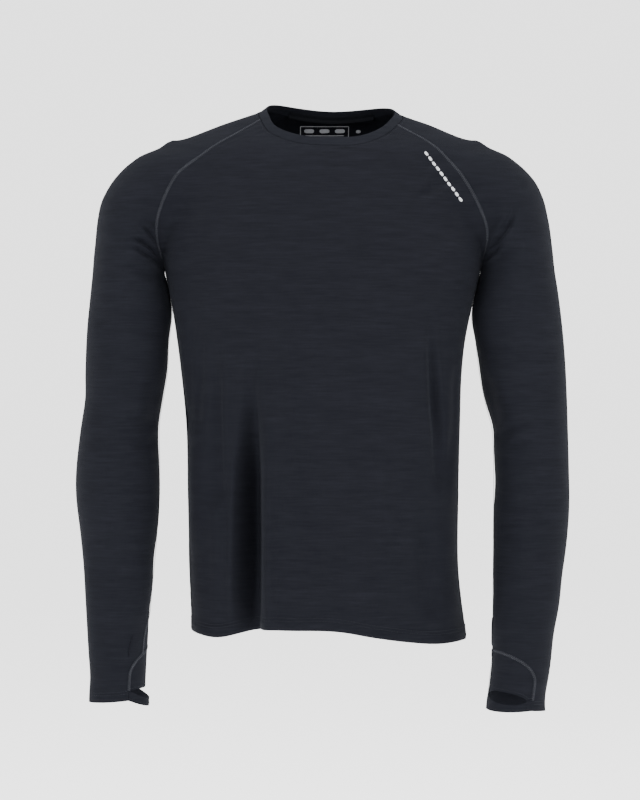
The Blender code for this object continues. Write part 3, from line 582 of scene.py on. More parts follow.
def raglan(side, face, count):
    """Points up a raglan seam, from the armpit to the neck."""
    corner = {
        ("left", "front"): FRONT_LEFT,
        ("left", "back"): BACK_LEFT,
        ("right", "front"): FRONT_RIGHT,
        ("right", "back"): BACK_RIGHT,
    }[side, face]
    foot = side_seam(side, [1])[0]
    rows = np.concatenate([[foot], RAGLANS[side, face][::-1], [NECK[corner]]])
    points = along(rows, 60)
    high = points[:, 2] > PART_BAND[1]
    points[high] = laid_on(body_form, points[high])
    return along(points, count)


def patch(bottom, top, first, last):
    """Grid of points between four edges, first and last running from bottom to top."""
    u = np.linspace(0, 1, len(bottom))[None, :, None]
    v = np.linspace(0, 1, len(first))[:, None, None]
    grid = (1 - v) * bottom[None] + v * top[None] + (1 - u) * first[:, None] + u * last[:, None]
    corners = (1 - v) * ((1 - u) * bottom[0] + u * bottom[-1]) + v * ((1 - u) * top[0] + u * top[-1])
    return grid - corners


def edge_level(form, grid, closed):
    """How far a piece's own edges lie off its form, fading out away from them."""
    fade = 0.030
    level = np.zeros(grid.shape[:2])
    rows = np.cumsum(np.linalg.norm(np.diff(grid, axis=0, prepend=grid[:1]), axis=2), axis=0)
    level += form(grid[0])[None] * np.exp(-rows / fade)
    level += form(grid[-1])[None] * np.exp(-(rows[-1:] - rows) / fade)
    if not closed:
        columns = np.cumsum(np.linalg.norm(np.diff(grid, axis=1, prepend=grid[:, :1]), axis=2), axis=1)
        level += form(grid[:, 0])[:, None] * np.exp(-columns / fade)
        level += form(grid[:, -1])[:, None] * np.exp(-(columns[:, -1:] - columns) / fade)
    return level


def settled(form, grid, closed=False, rounds=30):
    """A grid evened out and laid on its form, with its edges held."""
    grid = grid.copy()
    inner = np.s_[1:-1, :] if closed else np.s_[1:-1, 1:-1]
    for turn in range(rounds):
        if closed:
            sides = np.roll(grid, 1, axis=1)[1:-1] + np.roll(grid, -1, axis=1)[1:-1]
            ends = grid[:-2] + grid[2:]
        else:
            sides = grid[1:-1, :-2] + grid[1:-1, 2:]
            ends = grid[:-2, 1:-1] + grid[2:, 1:-1]
        if turn:
            grid[inner] += 0.5 * ((sides + ends) / 4 - grid[inner])
        level = edge_level(form, grid, closed)
        careful = turn in (0, rounds - 1)
        grid[inner] = laid_on(form, grid[inner], level[inner], rounds=8 if careful else 2)
    return grid


def normals(grid, closed):
    """Unit normals of a grid, from its own rows and columns."""
    if closed:
        across = np.roll(grid, -1, axis=1) - np.roll(grid, 1, axis=1)
    else:
        across = np.gradient(grid, axis=1)
    up = np.gradient(grid, axis=0)
    normal = np.cross(across, up)
    return normal / np.linalg.norm(normal, axis=-1, keepdims=True)


def folded(grid, folds):
    """A body panel with its folds pressed in along the panel's own normals."""
    x, z = grid[..., 0], grid[..., 2]
    depth = np.zeros(x.shape)
    for x_top, z_top, x_foot, z_foot, right_flank, left_flank, deep in folds:
        run = (z_top - z) / (z_top - z_foot)
        middle = x_top + (x_foot - x_top) * run
        off = x - middle
        flank = np.where(off < 0, right_flank, left_flank) * (0.5 + 0.5 * np.clip(run, 0, 1))
        fade = ease(run, 0, 0.55) * (1 - ease(run, 0.85, 1.0) * (z_foot > -0.70))
        depth += deep * fade * np.exp(-((off / flank) ** 2))
    out = normals(grid, False)
    out *= np.sign((out[..., 1] * np.sign(grid[..., 1].mean())).sum())
    return grid - out * depth[..., None]


def drawn_in(grid, closed=False):
    """A grid with its edges drawn in by half of the gap that the pieces keep at a seam."""
    grid = grid.copy()

    def draw(edge, neighbour):
        step = neighbour - edge
        return edge + step / np.linalg.norm(step, axis=-1, keepdims=True) * SEAM_GAP / 2

    first, last = draw(grid[0], grid[1]), draw(grid[-1], grid[-2])
    grid[0], grid[-1] = first, last
    if not closed:
        left, right = draw(grid[:, 0], grid[:, 1]), draw(grid[:, -1], grid[:, -2])
        grid[:, 0], grid[:, -1] = left, right
    return grid


def spread(count, spots, crowd=1.6, reach=0.09):
    """count + 1 places from 0 to 1, closer together round some spots."""
    fine = np.linspace(0, 1, 801)
    density = np.ones(fine.shape)
    for spot in spots:
        density += crowd * np.exp(-(((fine - spot) / reach) ** 2))
    run = np.concatenate([[0], np.cumsum((density[1:] + density[:-1]) / 2)])
    return np.interp(np.linspace(0, run[-1], count + 1), run, fine)


def resampled(points, places):
    """Points on a polyline at places from 0 to 1 of its length."""
    run = np.concatenate([[0], np.cumsum(np.linalg.norm(np.diff(points, axis=0), axis=1))])
    at = np.asarray(places) * run[-1]
    return np.stack([np.interp(at, run, points[:, axis]) for axis in range(3)], axis=1)


def body_edge(side, face, rows_at, fine):
    """Points up the side seam and then the raglan seam, one of them exactly at the armpit."""
    shares = rows_at[rows_at < SIDE_CELLS] / SIDE_CELLS
    return np.concatenate([side_seam(side, shares), raglan(side, face, RAGLAN_CELLS * fine)])


def body_places(face, fine):
    """Where the columns of the front or the back lie, from 0 at the wearer's right to 1 at the left."""
    if face == "front":
        return spread(FRONT_ACROSS * fine, FOLD_SPOTS)
    return spread(BACK_ACROSS * fine, ())


def neck_edge(face, places):
    """Points along the top edge of the front or the back, from the wearer's right to left."""
    if face == "front":
        return resampled(neck_arc(FRONT_RIGHT, FRONT_LEFT, 60), places)
    return resampled(neck_arc(BACK_LEFT, BACK_RIGHT, 60)[::-1], places)


def finer(grid, rows_at, columns_at, closed=False):
    """A grid read at more rows and columns, on smooth curves through its points."""
    rows, columns = grid.shape[:2]
    long = curve_through(np.arange(rows), grid.reshape(rows, -1), rows_at)
    long = long.reshape(len(rows_at), columns, 3)
    knots = np.arange(columns)
    if closed:
        long = np.concatenate([long[:, -3:], long, long[:, :3]], axis=1)
        knots = np.arange(-3, columns + 3)
    turned = long.transpose(1, 0, 2).reshape(len(knots), -1)
    wide = curve_through(knots, turned, columns_at)
    return wide.reshape(len(columns_at), len(rows_at), 3).transpose(1, 0, 2)


def body_panel(face):
    """Grid of the front or the back, row by row from hem to neck, from the wearer's right to left."""
    coarse_rows = np.arange(SIDE_CELLS + RAGLAN_CELLS + 1)
    places = body_places(face, 1)
    edges = [body_edge(side, face, coarse_rows, 1) for side in ("right", "left")]
    grid = patch(hem(face, places), neck_edge(face, places), *edges)
    if face == "back":
        grid[1:-1, 1:-1, 1] = np.maximum(grid[1:-1, 1:-1, 1], BACK_START)
    grid = settled(body_form, grid, rounds=40)
    # The same panel with many more rows and columns, the most of them in the turned-up hem
    in_hem = np.linspace(0, 1, HEM_ROWS + 1)[:-1]
    above_hem = np.arange(FINE, (len(coarse_rows) - 1) * FINE + 1) / FINE
    rows_at = np.concatenate([in_hem, above_hem])
    fine = FRONT_FINE if face == "front" else BACK_FINE
    places = body_places(face, fine)
    grid = finer(grid, rows_at, np.arange(len(places)) / fine)
    edges = [body_edge(side, face, rows_at, FINE) for side in ("right", "left")]
    low_off, high_off = hem(face, places) - grid[0], neck_edge(face, places) - grid[-1]
    grid = grid + patch(low_off, high_off, edges[0] - grid[:, 0], edges[1] - grid[:, -1])
    inner = np.s_[1:-1, 1:-1]
    level = edge_level(body_form, grid, False)
    grid[inner] = laid_on(body_form, grid[inner], level[inner], rounds=6)
    return grid


def arm_point(side, turn, z):
    """Point on a sleeve at a turn in degrees from its inner side by the front, at height z."""
    centre, half = arm_section(side, z)
    turn = np.radians(turn)
    reach = np.stack([-SIGN[side] * np.cos(turn), -np.sin(turn)], -1)
    return np.concatenate([centre + half * reach, np.asarray(z)[..., None]], -1)


def notch_columns(side):
    """Where the thumb gusset's opening lies among the sleeve's columns: its first column, and how many
    cells go up its tall side, over its arch and down its short side."""
    first, last = (round(turn * SLEEVE_AROUND / 360) for turn in GUSSETS[side]["turn"])
    notch = last - first
    rise, fall = max(1, round(notch * 0.2)), max(1, round(notch * 0.12))
    return first, rise, notch - rise - fall, fall


def cuff_edge(side, margin=0.0, fine=1):
    """Turn and height of the sleeve's lower edge, column by column: up one side of the thumb gusset, over
    its arch, down the other side and round the end of the sleeve. With a margin, a ring that keeps off the
    gusset."""
    gusset = GUSSETS[side]
    off = SEAM_GAP / 2 + margin
    aside = math.degrees(off / WRIST_REACH)
    first, rise, over, fall = (cells * fine for cells in notch_columns(side))
    rest = SLEEVE_AROUND * fine - rise - over - fall
    angle = np.linspace(math.pi / 2, 0, over + 1)[1:-1]
    near, far = gusset["turn"][0] - aside, gusset["turn"][1] + aside
    top, foot, end = gusset["top"] + off, gusset["foot"] + margin, gusset["end"]
    turns = [
        np.full(rise + 1, near),
        near + (far - near) * np.cos(angle),
        np.full(fall + 1, far),
        np.linspace(far, near + 360, rest + 1)[1:-1],
    ]
    heights = [
        np.linspace(end, top, rise + 1),
        foot + (top - foot) * np.sin(angle),
        np.linspace(foot, end, fall + 1),
        end - CUFF_DROP * np.sin(np.linspace(0, math.pi, rest + 1)[1:-1]),
    ]
    return np.roll(np.concatenate(turns), first), np.roll(np.concatenate(heights), first)


def sleeve_neck(side, fine=1):
    """Points along the short edge where a sleeve meets the neckband, from the front to the back."""
    count = (SLEEVE_AROUND - 2 * RAGLAN_CELLS) * fine
    if side == "left":
        return neck_arc(FRONT_LEFT, BACK_LEFT, count)
    return neck_arc(BACK_RIGHT, FRONT_RIGHT, count)[::-1]


def sleeve_seam(side, fine=1):
    """The seam loop at the top of a sleeve: up the front raglan, round the neck, down the back raglan."""
    front, back = (raglan(side, face, RAGLAN_CELLS * fine) for face in ("front", "back"))
    return np.concatenate([front[:-1], sleeve_neck(side, fine)[:-1], back[:0:-1]])


def yoke_turns():
    """Turns of the sleeve's columns at the shoulder: the first ones past the armpit are wider apart."""
    even = np.arange(SLEEVE_AROUND) / SLEEVE_AROUND
    from_inside = 1 - np.abs(2 * even - 1)
    widen = np.sign(0.5 - even) * ARMPIT_WIDEN * np.sin(math.pi * np.sqrt(from_inside))
    return 360 * even + widen


def crown_ring(side, turn):
    """A slanted ring over the shoulder and under the armpit, to guide the sleeve's upper rings."""
    inner = arm_point(side, 0, np.array(CROWN_RING[0]))
    outer = arm_point(side, 180, np.array(CROWN_RING[1]))
    middle, half = (inner + outer) / 2, (outer - inner) / 2
    turn = np.radians(turn)[:, None]
    return middle - np.cos(turn) * half + np.sin(turn) * np.array((0, -0.080, 0))


def sleeve(side):
    """Grid of a sleeve, ring by ring from the raglan seams and the neck to the cuff."""
    around = SLEEVE_AROUND
    even = np.arange(around) * 360 / around
    turn = yoke_turns()
    seam = sleeve_seam(side)
    upper_arm, wrist = -0.262, -0.638
    guides = np.stack([seam, crown_ring(side, turn), arm_point(side, turn, np.full(around, upper_arm))])
    t = np.linspace(0, 1, YOKE_RINGS + 1)
    yoke = curve_through([0, 0.45, 1], guides.reshape(3, -1), t).reshape(len(t), around, 3)
    yoke = settled(sleeve_form(side), yoke, closed=True, rounds=1)
    arm = []
    for share in np.linspace(0, 1, ARM_RINGS + 1)[1:]:
        z = upper_arm + (wrist - upper_arm) * share
        arm.append(arm_point(side, turn + (even - turn) * share, np.full(around, z)))
    cuff = []
    for share in np.linspace(0, 1, CUFF_RINGS + 1)[1:]:
        end_turn, end_z = cuff_edge(side, CUFF_MARGIN * (1 - share))
        end_turn += 360 * np.round((even - end_turn) / 360)
        ring_turn = even + (end_turn - even) * ease(share, 0, 1)
        cuff.append(arm_point(side, ring_turn, wrist + (end_z - wrist) * share))
    return fine_sleeve(side, np.concatenate([yoke, np.stack(arm), np.stack(cuff)]))


def fine_sleeve(side, coarse):
    """The same sleeve with many more rings and columns, which follow its seams and cuff exactly."""
    cells = len(coarse) - 1
    count = cells * FINE
    around = SLEEVE_AROUND * FINE
    grid = finer(coarse, np.arange(count + 1) / FINE, np.arange(around) / FINE, closed=True)
    even = np.arange(around) * 360 / around
    end_turn, end_z = cuff_edge(side, 0.0, FINE)
    end_turn += 360 * np.round((even - end_turn) / 360)
    row = np.arange(count + 1)[:, None, None]
    near_top, near_end = 1 - ease(row, 0, 3 * FINE), ease(row, count - 2 * FINE, count)
    top_off, end_off = sleeve_seam(side, FINE) - grid[0], arm_point(side, end_turn, end_z) - grid[-1]
    grid = grid + near_top * top_off + near_end * end_off
    # Smooth the columns that bend round the gusset's opening
    for _ in range(40):
        sides = np.roll(grid, 1, axis=1)[1:-1] + np.roll(grid, -1, axis=1)[1:-1]
        grid[1:-1] += 0.5 * near_end[1:-1] * ((sides + grid[:-2] + grid[2:]) / 4 - grid[1:-1])
    form = sleeve_form(side)
    level = edge_level(form, grid, True)
    grid[1:-1] = laid_on(form, grid[1:-1], level[1:-1], rounds=6)
    return grid


def thumb_lips(side, turn):
    """Heights of the upper and lower lip of the thumb hole at a turn round the sleeve."""
    gusset = GUSSETS[side]
    start, stop = gusset["turn"]
    share = np.clip((turn - start - 3) / (stop - start - 14), 0, 1)
    open_by = gusset["hole"] / 2 * np.sqrt(np.sin(math.pi * share))
    middle = gusset["end"] + LOOP_WIDTH + gusset["hole"] / 2 - gusset["tilt"] * (share - 0.5)
    return middle + open_by + SEAM_GAP / 2, middle - open_by - SEAM_GAP / 2


def notch_side(side, tall, z):
    """Points at heights z on one of the two straight sides of the thumb gusset's opening."""
    gusset = GUSSETS[side]
    turn = gusset["turn"][0 if tall else 1]
    low, high = arm_point(side, turn, np.array((gusset["end"], gusset["top" if tall else "foot"])))
    share = (z - low[2]) / (high[2] - low[2])
    return low + share[:, None] * (high - low)


def gusset_panel(side):
    """Grid of the quarter-round panel above the thumb hole."""
    gusset = GUSSETS[side]
    start, stop = gusset["turn"]
    _, _, over, _ = notch_columns(side)
    angle = np.linspace(0, math.pi / 2, over * FINE + 1)
    turn = start + (stop - start) * np.sin(angle)
    lip = thumb_lips(side, turn)[0]
    arch = gusset["foot"] + (gusset["top"] - gusset["foot"]) * np.cos(angle)
    first = notch_side(side, True, np.linspace(lip[0], arch[0], GUSSET_ROWS * FINE // 2 + 1))
    last = notch_side(side, False, np.linspace(lip[-1], arch[-1], GUSSET_ROWS * FINE // 2 + 1))
    bottom, top = arm_point(side, turn, lip), arm_point(side, turn, arch)
    bottom[0], bottom[-1] = first[0], last[0]
    return patch(bottom, top, first, last)


def thumb_loop(side):
    """Grid of the narrow band under the thumb hole, which stands a little off the wrist."""
    start, stop = GUSSETS[side]["turn"]
    stand_out, sag = LOOP_SLACK[side]
    turn = np.linspace(start, stop, LOOP_CELLS * FINE + 1)
    bulge = np.sin(math.pi * (turn - start) / (stop - start))
    low, high = np.full(turn.shape, GUSSETS[side]["end"]), thumb_lips(side, turn)[1]
    heights = low + (high - low) * np.linspace(0, 1, LOOP_ROWS + 1)[:, None]
    rows = []
    for z in heights:
        points = arm_point(side, turn, z)
        away = points[:, :2] - arm_section(side, z)[0]
        away /= np.linalg.norm(away, axis=1, keepdims=True)
        points[:, :2] += away * (stand_out * bulge)[:, None]
        points[:, 2] -= sag * bulge
        rows.append(points)
    grid = np.stack(rows)
    grid[:, 0] = notch_side(side, True, heights[:, 0])
    grid[:, -1] = notch_side(side, False, heights[:, -1])
    return grid


def neck_ring():
    """Points all round the neck seam, each of them on a corner of the piece below it."""
    front = neck_edge("front", body_places("front", FRONT_FINE))
    back = neck_edge("back", body_places("back", BACK_FINE))
    arcs = (front, sleeve_neck("left", FINE), back[::-1], sleeve_neck("right", FINE)[::-1])
    return np.concatenate([arc[:-1] for arc in arcs])


def neckband(shares):
    """Grid of the neckband: rings from the neck seam to its free edge."""
    seam = neck_ring()
    inward = NECK_MIDDLE - seam[:, :2]
    inward /= np.linalg.norm(inward, axis=1, keepdims=True)
    # The band stands up in front and behind, and lies flatter over the shoulders.
    rise = np.radians(34 + 34 * np.abs(inward[:, 1]) ** 1.5)
    way = np.concatenate([inward * np.cos(rise)[:, None], np.sin(rise)[:, None]], 1)
    start = seam + way * SEAM_GAP
    return np.stack([start + way * BAND_WIDTH * share for share in shares])


def neck_tape():
    """Grid of the tape over the back neck seam, inside the neck, made from the neckband's points."""
    band = neckband((0, 1))
    first = FRONT_ACROSS * FRONT_FINE + len(sleeve_neck("left", FINE)) - 1
    last = first + BACK_ACROSS * BACK_FINE
    seam = band[0, first:last + 1]
    up = band[1, first:last + 1] - seam
    up /= np.linalg.norm(up, axis=1, keepdims=True)
    inside = np.append(NECK_MIDDLE, 0) - seam
    inside[:, 2] = 0
    inside /= np.linalg.norm(inside, axis=1, keepdims=True)
    down = np.array((0, 0, -1.0))
    low = seam + inside * TAPE_OFF + down * TAPE_WIDTH / 2
    middle = seam + inside * TAPE_OFF
    high = middle + up * TAPE_WIDTH / 2
    rows = [low + (middle - low) * share for share in np.linspace(0, 1, 5)]
    return np.stack(rows + [middle + (high - middle) * share for share in np.linspace(0, 1, 5)[1:]])


def pressed(grid, out, creases, forward):
    """A grid with soft creases pressed in where it faces the front or the back."""
    x, z = grid[..., 0], grid[..., 2]
    facing = ease(out[..., 1] * forward, 0.05, 0.45)
    depth = np.zeros(x.shape)
    for x1, z1, x2, z2, bow, width, deep in creases:
        run = np.array((x2 - x1, z2 - z1))
        length = np.linalg.norm(run)
        way = run / length
        t = ((x - x1) * way[0] + (z - z1) * way[1]) / length
        inside = np.clip(t, 0, 1)
        aside = (z - z1) * way[0] - (x - x1) * way[1] - bow * 4 * inside * (1 - inside)
        past = np.abs(t - inside) * length
        share = np.abs(aside) / width
        profile = np.exp(-(share**2)) - 0.30 * np.exp(-(((share - 1.9) / 0.8) ** 2))
        taper = 0.25 + 0.75 * ease(np.minimum(inside, 1 - inside), 0, 0.3)
        depth += deep * profile * taper * np.exp(-((past / (1.5 * width)) ** 2))
    return depth * facing


def waves(grid):
    """Slow unevenness of the cloth, so that no stretch of it is quite smooth."""
    x, y, z = grid[..., 0], grid[..., 1], grid[..., 2]
    low = ease(-z, 0.15, 0.60)
    upright = np.sin(61 * x + 9 * z + 2.2 * np.sin(14 * z + 1.3)) * np.sin(47 * y + 5 * z + 0.7)
    level = np.sin(83 * z + 11 * x + 1.7 * np.sin(23 * x)) * np.sin(19 * x + 31 * y + 0.4)
    return UPRIGHT_WAVES * low * upright + LEVEL_WAVES * level


def edge_distance(grid, closed):
    """Distance of each point from the nearest seam edge, the bottom edge left out."""
    rows = np.cumsum(np.linalg.norm(np.diff(grid, axis=0, prepend=grid[:1]), axis=2), axis=0)
    seam = rows[-1:] - rows
    if closed:
        return rows
    columns = np.cumsum(np.linalg.norm(np.diff(grid, axis=1, prepend=grid[:, :1]), axis=2), axis=1)
    return np.minimum(seam, np.minimum(columns, columns[:, -1:] - columns))


def draped(grid, form, closed):
    """A smooth grid with its creases, its waves and the raised edges of its flat seams."""
    out = gradient(form, grid)
    out /= np.linalg.norm(out, axis=-1, keepdims=True)
    depth = pressed(grid, out, FRONT_CREASES, -1) + pressed(grid, out, BACK_CREASES, 1) + waves(grid)
    from_seam = edge_distance(grid, closed)
    depth *= ease(from_seam, *SEAM_CALM)
    depth -= SEAM_RIDGE * np.exp(-((from_seam / SEAM_RIDGE_WIDTH) ** 2))
    gathered = np.sin(math.pi * np.clip(from_seam / PUCKER_REACH, 0, 1))
    depth -= PUCKER_DEPTH * gathered * puckers(grid)
    return grid - out * depth[..., None]


def puckers(grid):
    """Small gathers of the cloth along its seams, from -1 to 1."""
    x, y, z = grid[..., 0], grid[..., 1], grid[..., 2]
    run = z - 0.5 * x + 0.3 * y
    return 0.5 * np.sin(430 * run + 2 * np.sin(90 * run)) * np.sin(57 * run + 1.1)


def hemmed(grid, out):
    """A body panel with the step of its turned-up hem and the dents of its stitches."""
    up = np.cumsum(np.linalg.norm(np.diff(grid, axis=0, prepend=grid[:1]), axis=2), axis=0)
    lift = HEM_LIFT * (1 - ease(up, HEM_DEPTH - HEM_LIFT, HEM_DEPTH + 3 * HEM_LIFT))
    for row in HEM_ROWS_OF_STITCHES:
        lift -= DENT * np.exp(-(((up - row) / DENT_WIDTH) ** 2))
    lift -= EDGE_ROLL * np.exp(-up / EDGE_ROLL_HEIGHT)
    return grid + out * lift[..., None]


def cloth_shell(grid, form, closed, thick):
    """The outer and inner faces of a piece, squared to the form at its seams."""
    out = normals(grid, closed)
    guide = gradient(form, grid)
    guide /= np.linalg.norm(guide, axis=-1, keepdims=True)
    if (out * guide).sum() < 0:
        out = -out
    fade = ease(edge_distance(grid, closed), 0.0, 0.008)[..., None]
    out = guide * (1 - fade) + out * fade
    out /= np.linalg.norm(out, axis=-1, keepdims=True)
    return grid, grid - out * thick


def rounded(grid, closed, thick, away):
    """The outer and inner faces of a band with rounded long edges."""
    out = normals(grid, closed)
    if (out * away).sum() < 0:
        out = -out
    share = np.linspace(-1, 1, len(grid))[:, None, None]
    half = thick / 2 * np.sqrt(np.maximum(1 - np.abs(share) ** 5, 0.02))
    middle = grid - out * thick / 2
    return middle + out * half, middle - out * half


def mesh_of(name, outer, inner, closed, cloth):
    """One piece of cloth as a closed thin shell, with a UV map in metres for its knit."""
    rows, columns = outer.shape[:2]
    count = rows * columns
    at = np.arange(count).reshape(rows, columns)
    across = np.linalg.norm(np.diff(outer[rows // 2], axis=0), axis=1)
    along_it = np.linalg.norm(np.diff(outer[:, columns // 3], axis=0), axis=1)
    if closed:
        at = np.concatenate([at, at[:, :1]], axis=1)
        across = np.append(across, np.linalg.norm(outer[rows // 2, 0] - outer[rows // 2, -1]))
    u, v = (np.concatenate([[0], np.cumsum(steps)]) for steps in (across, along_it))
    place = np.stack(np.broadcast_arrays(u[None], v[:, None]), -1)

    def corners(table, which):
        a, b, c, d = table[:-1, :-1], table[:-1, 1:], table[1:, 1:], table[1:, :-1]
        order = (a, b, c, d) if which == 0 else (a, d, c, b)
        return np.stack(order, axis=2).reshape(-1, 4, *table.shape[2:])

    def rim(edge, edge_place, flip):
        quad = np.stack([edge[:-1], edge[:-1] + count, edge[1:] + count, edge[1:]], 1)
        spot = np.stack([edge_place[:-1], edge_place[:-1], edge_place[1:], edge_place[1:]], 1)
        return (quad[:, ::-1], spot[:, ::-1]) if flip else (quad, spot)

    parts = [(corners(at, 0), corners(place, 0)), (corners(at, 1) + count, corners(place, 1))]
    parts += [rim(at[0], place[0], False), rim(at[-1], place[-1], True)]
    if not closed:
        parts += [rim(at[:, 0], place[:, 0], True), rim(at[:, -1], place[:, -1], False)]
    quads = np.concatenate([part[0] for part in parts])
    places = np.concatenate([part[1] for part in parts])
    points = np.concatenate([outer.reshape(-1, 3), inner.reshape(-1, 3)])
    a, b, c, d = (points[quads[:, k]] for k in range(4))
    volume = (np.cross(a, b) * c).sum() + (np.cross(a, c) * d).sum()
    if volume < 0:
        quads, places = quads[:, ::-1], places[:, ::-1]
    mesh = bpy.data.meshes.new(name)
    mesh.from_pydata(points.tolist(), [], quads.tolist())
    knit = mesh.uv_layers.new(name="knit")
    knit.data.foreach_set("uv", places.reshape(-1).astype("float32"))
    mesh.shade_smooth()
    mesh.set_sharp_from_angle(angle=math.radians(60))
    mesh.materials.append(cloth)
    piece = bpy.data.objects.new(name, mesh)
    bpy.context.scene.collection.objects.link(piece)
    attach(piece, "root")
    return piece


def threads(name, middles, ways, outs, length, thick, cloth, lift=0.0):
    """Short stitches lying on the cloth, each bowed over from end to end."""
    stations = np.array((-0.5, -0.3, 0.0, 0.3, 0.5))
    widths = np.array((0.45, 0.9, 1.0, 0.9, 0.45))
    sink = np.array((-0.9, -0.15, 0.25, -0.15, -0.9))
    sides = 5
    angle = np.arange(sides) * 2 * math.pi / sides
    ways = ways / np.linalg.norm(ways, axis=1, keepdims=True)
    outs = outs / np.linalg.norm(outs, axis=1, keepdims=True)
    asides = np.cross(outs, ways)
    length = np.broadcast_to(length, (len(middles),))
    radius = thick / 2
    rings = []
    for station, width, down in zip(stations, widths, sink):
        spine = middles + ways * (station * length)[:, None] + outs * (down * radius + lift)
        for turn in angle:
            round_part = asides * math.cos(turn) * 1.25 + outs * math.sin(turn) * 0.85
            rings.append(spine + round_part * radius * width)
    points = np.stack(rings, axis=1)
    per = len(rings)
    quads = []
    for ring in range(len(stations) - 1):
        for side in range(sides):
            a, b = ring * sides + side, ring * sides + (side + 1) % sides
            quads.append((a, a + sides, b + sides, b))
    bases = np.arange(len(middles))[:, None, None] * per
    faces = (bases + np.array(quads)[None]).reshape(-1, 4).tolist()
    for first in range(len(middles)):
        base = first * per
        faces.append(list(range(base, base + sides)))
        faces.append(list(range(base + per - 1, base + per - 1 - sides, -1)))
    mesh = bpy.data.meshes.new(name)
    mesh.from_pydata(points.reshape(-1, 3).tolist(), [], faces)
    mesh.shade_smooth()
    mesh.materials.append(cloth)
    piece = bpy.data.objects.new(name, mesh)
    bpy.context.scene.collection.objects.link(piece)
    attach(piece, "root")
    return piece


def evenly(line, step, closed=False, start=0.5):
    """Places a step apart on a polyline, with the way it runs there."""
    if closed:
        line = np.concatenate([line, line[:1]])
    steps = np.linalg.norm(np.diff(line, axis=0), axis=1)
    run = np.concatenate([[0], np.cumsum(steps)])
    at = np.arange(start * step, run[-1], step)
    points = np.stack([np.interp(at, run, line[:, axis]) for axis in range(3)], axis=1)
    ahead = np.stack([np.interp(at + step / 3, run, line[:, axis]) for axis in range(3)], axis=1)
    behind = np.stack([np.interp(at - step / 3, run, line[:, axis]) for axis in range(3)], axis=1)
    return points, ahead - behind


def outward(form, points):
    slope = gradient(form, points)
    return slope / np.linalg.norm(slope, axis=-1, keepdims=True)


def flat_seam(name, line, form, cloth):
    """A flat seam's cover stitches: threads across it, each slanted a little."""
    middles, ways = evenly(line, FLAT_STEP)
    outs = outward(form, middles)
    across = np.cross(outs, ways)
    across /= np.linalg.norm(across, axis=1, keepdims=True)
    along_it = ways / np.linalg.norm(ways, axis=1, keepdims=True)
    slant = np.where(np.arange(len(middles)) % 2, 0.22, -0.22)[:, None]
    slanted = across + along_it * slant
    return threads(name, middles, slanted, outs, FLAT_STITCH, FLAT_THREAD, cloth, lift=FLAT_THREAD)


def row_above(grid, distance):
    """The line across a grid that lies a distance above its first row."""
    up = np.cumsum(np.linalg.norm(np.diff(grid, axis=0, prepend=grid[:1]), axis=2), axis=0)
    line = []
    for column in range(grid.shape[1]):
        line.append([np.interp(distance, up[:, column], grid[:, column, axis]) for axis in range(3)])
    return np.array(line)


def row_stitches(name, line, form, cloth, step=ROW_STEP, closed=False):
    """A row of long stitches along a line on a form."""
    middles, ways = evenly(line, step, closed)
    outs = outward(form, middles)
    return threads(name, middles, ways, outs, step * 0.72, ROW_THREAD, cloth, lift=ROW_LIFT)


def joined(name, pieces):
    """Several pieces made into one."""
    with bpy.context.temp_override(active_object=pieces[0], selected_editable_objects=pieces):
        bpy.ops.object.join()
    pieces[0].name = name
    return pieces[0]


def tree_of(name, colour, roughness, sheen):
    """A new material with its shader's plain values set, and its node tree."""
    cloth = bpy.data.materials.new(name)
    cloth.use_nodes = True
    tree = cloth.node_tree
    shader = tree.nodes["Principled BSDF"]
    shader.inputs["Base Color"].default_value = (*colour, 1)
    shader.inputs["Roughness"].default_value = roughness
    shader.inputs["Specular IOR Level"].default_value = SHINE
    shader.inputs["Sheen Weight"].default_value = sheen
    shader.inputs["Sheen Roughness"].default_value = 0.38
    shader.inputs["Sheen Tint"].default_value = (0.62, 0.66, 0.78, 1)
    return cloth, tree, shader


def noise(tree, scale, detail, stretch):
    """Noise in object space, stretched along the axes."""
    place = tree.nodes.new("ShaderNodeTexCoord")
    mapping = tree.nodes.new("ShaderNodeMapping")
    mapping.inputs["Scale"].default_value = stretch
    texture = tree.nodes.new("ShaderNodeTexNoise")
    texture.inputs["Scale"].default_value = scale
    texture.inputs["Detail"].default_value = detail
    texture.inputs["Roughness"].default_value = 0.6
    tree.links.new(place.outputs["Object"], mapping.inputs["Vector"])
    tree.links.new(mapping.outputs["Vector"], texture.inputs["Vector"])
    return texture.outputs["Fac"]


def maths(tree, operation, a, b):
    node = tree.nodes.new("ShaderNodeMath")
    node.operation = operation
    for socket, value in zip(node.inputs, (a, b)):
        if isinstance(value, (int, float)):
            socket.default_value = value
        else:
            tree.links.new(value, socket)
    return node.outputs[0]


def ramp(tree, value, stops):
    node = tree.nodes.new("ShaderNodeValToRGB")
    tree.links.new(value, node.inputs["Fac"])
    elements = node.color_ramp.elements
    while len(elements) < len(stops):
        elements.new(0.5)
    for element, (place, colour) in zip(elements, stops):
        element.position = place
        element.color = (*colour, 1)
    return node.outputs["Color"]


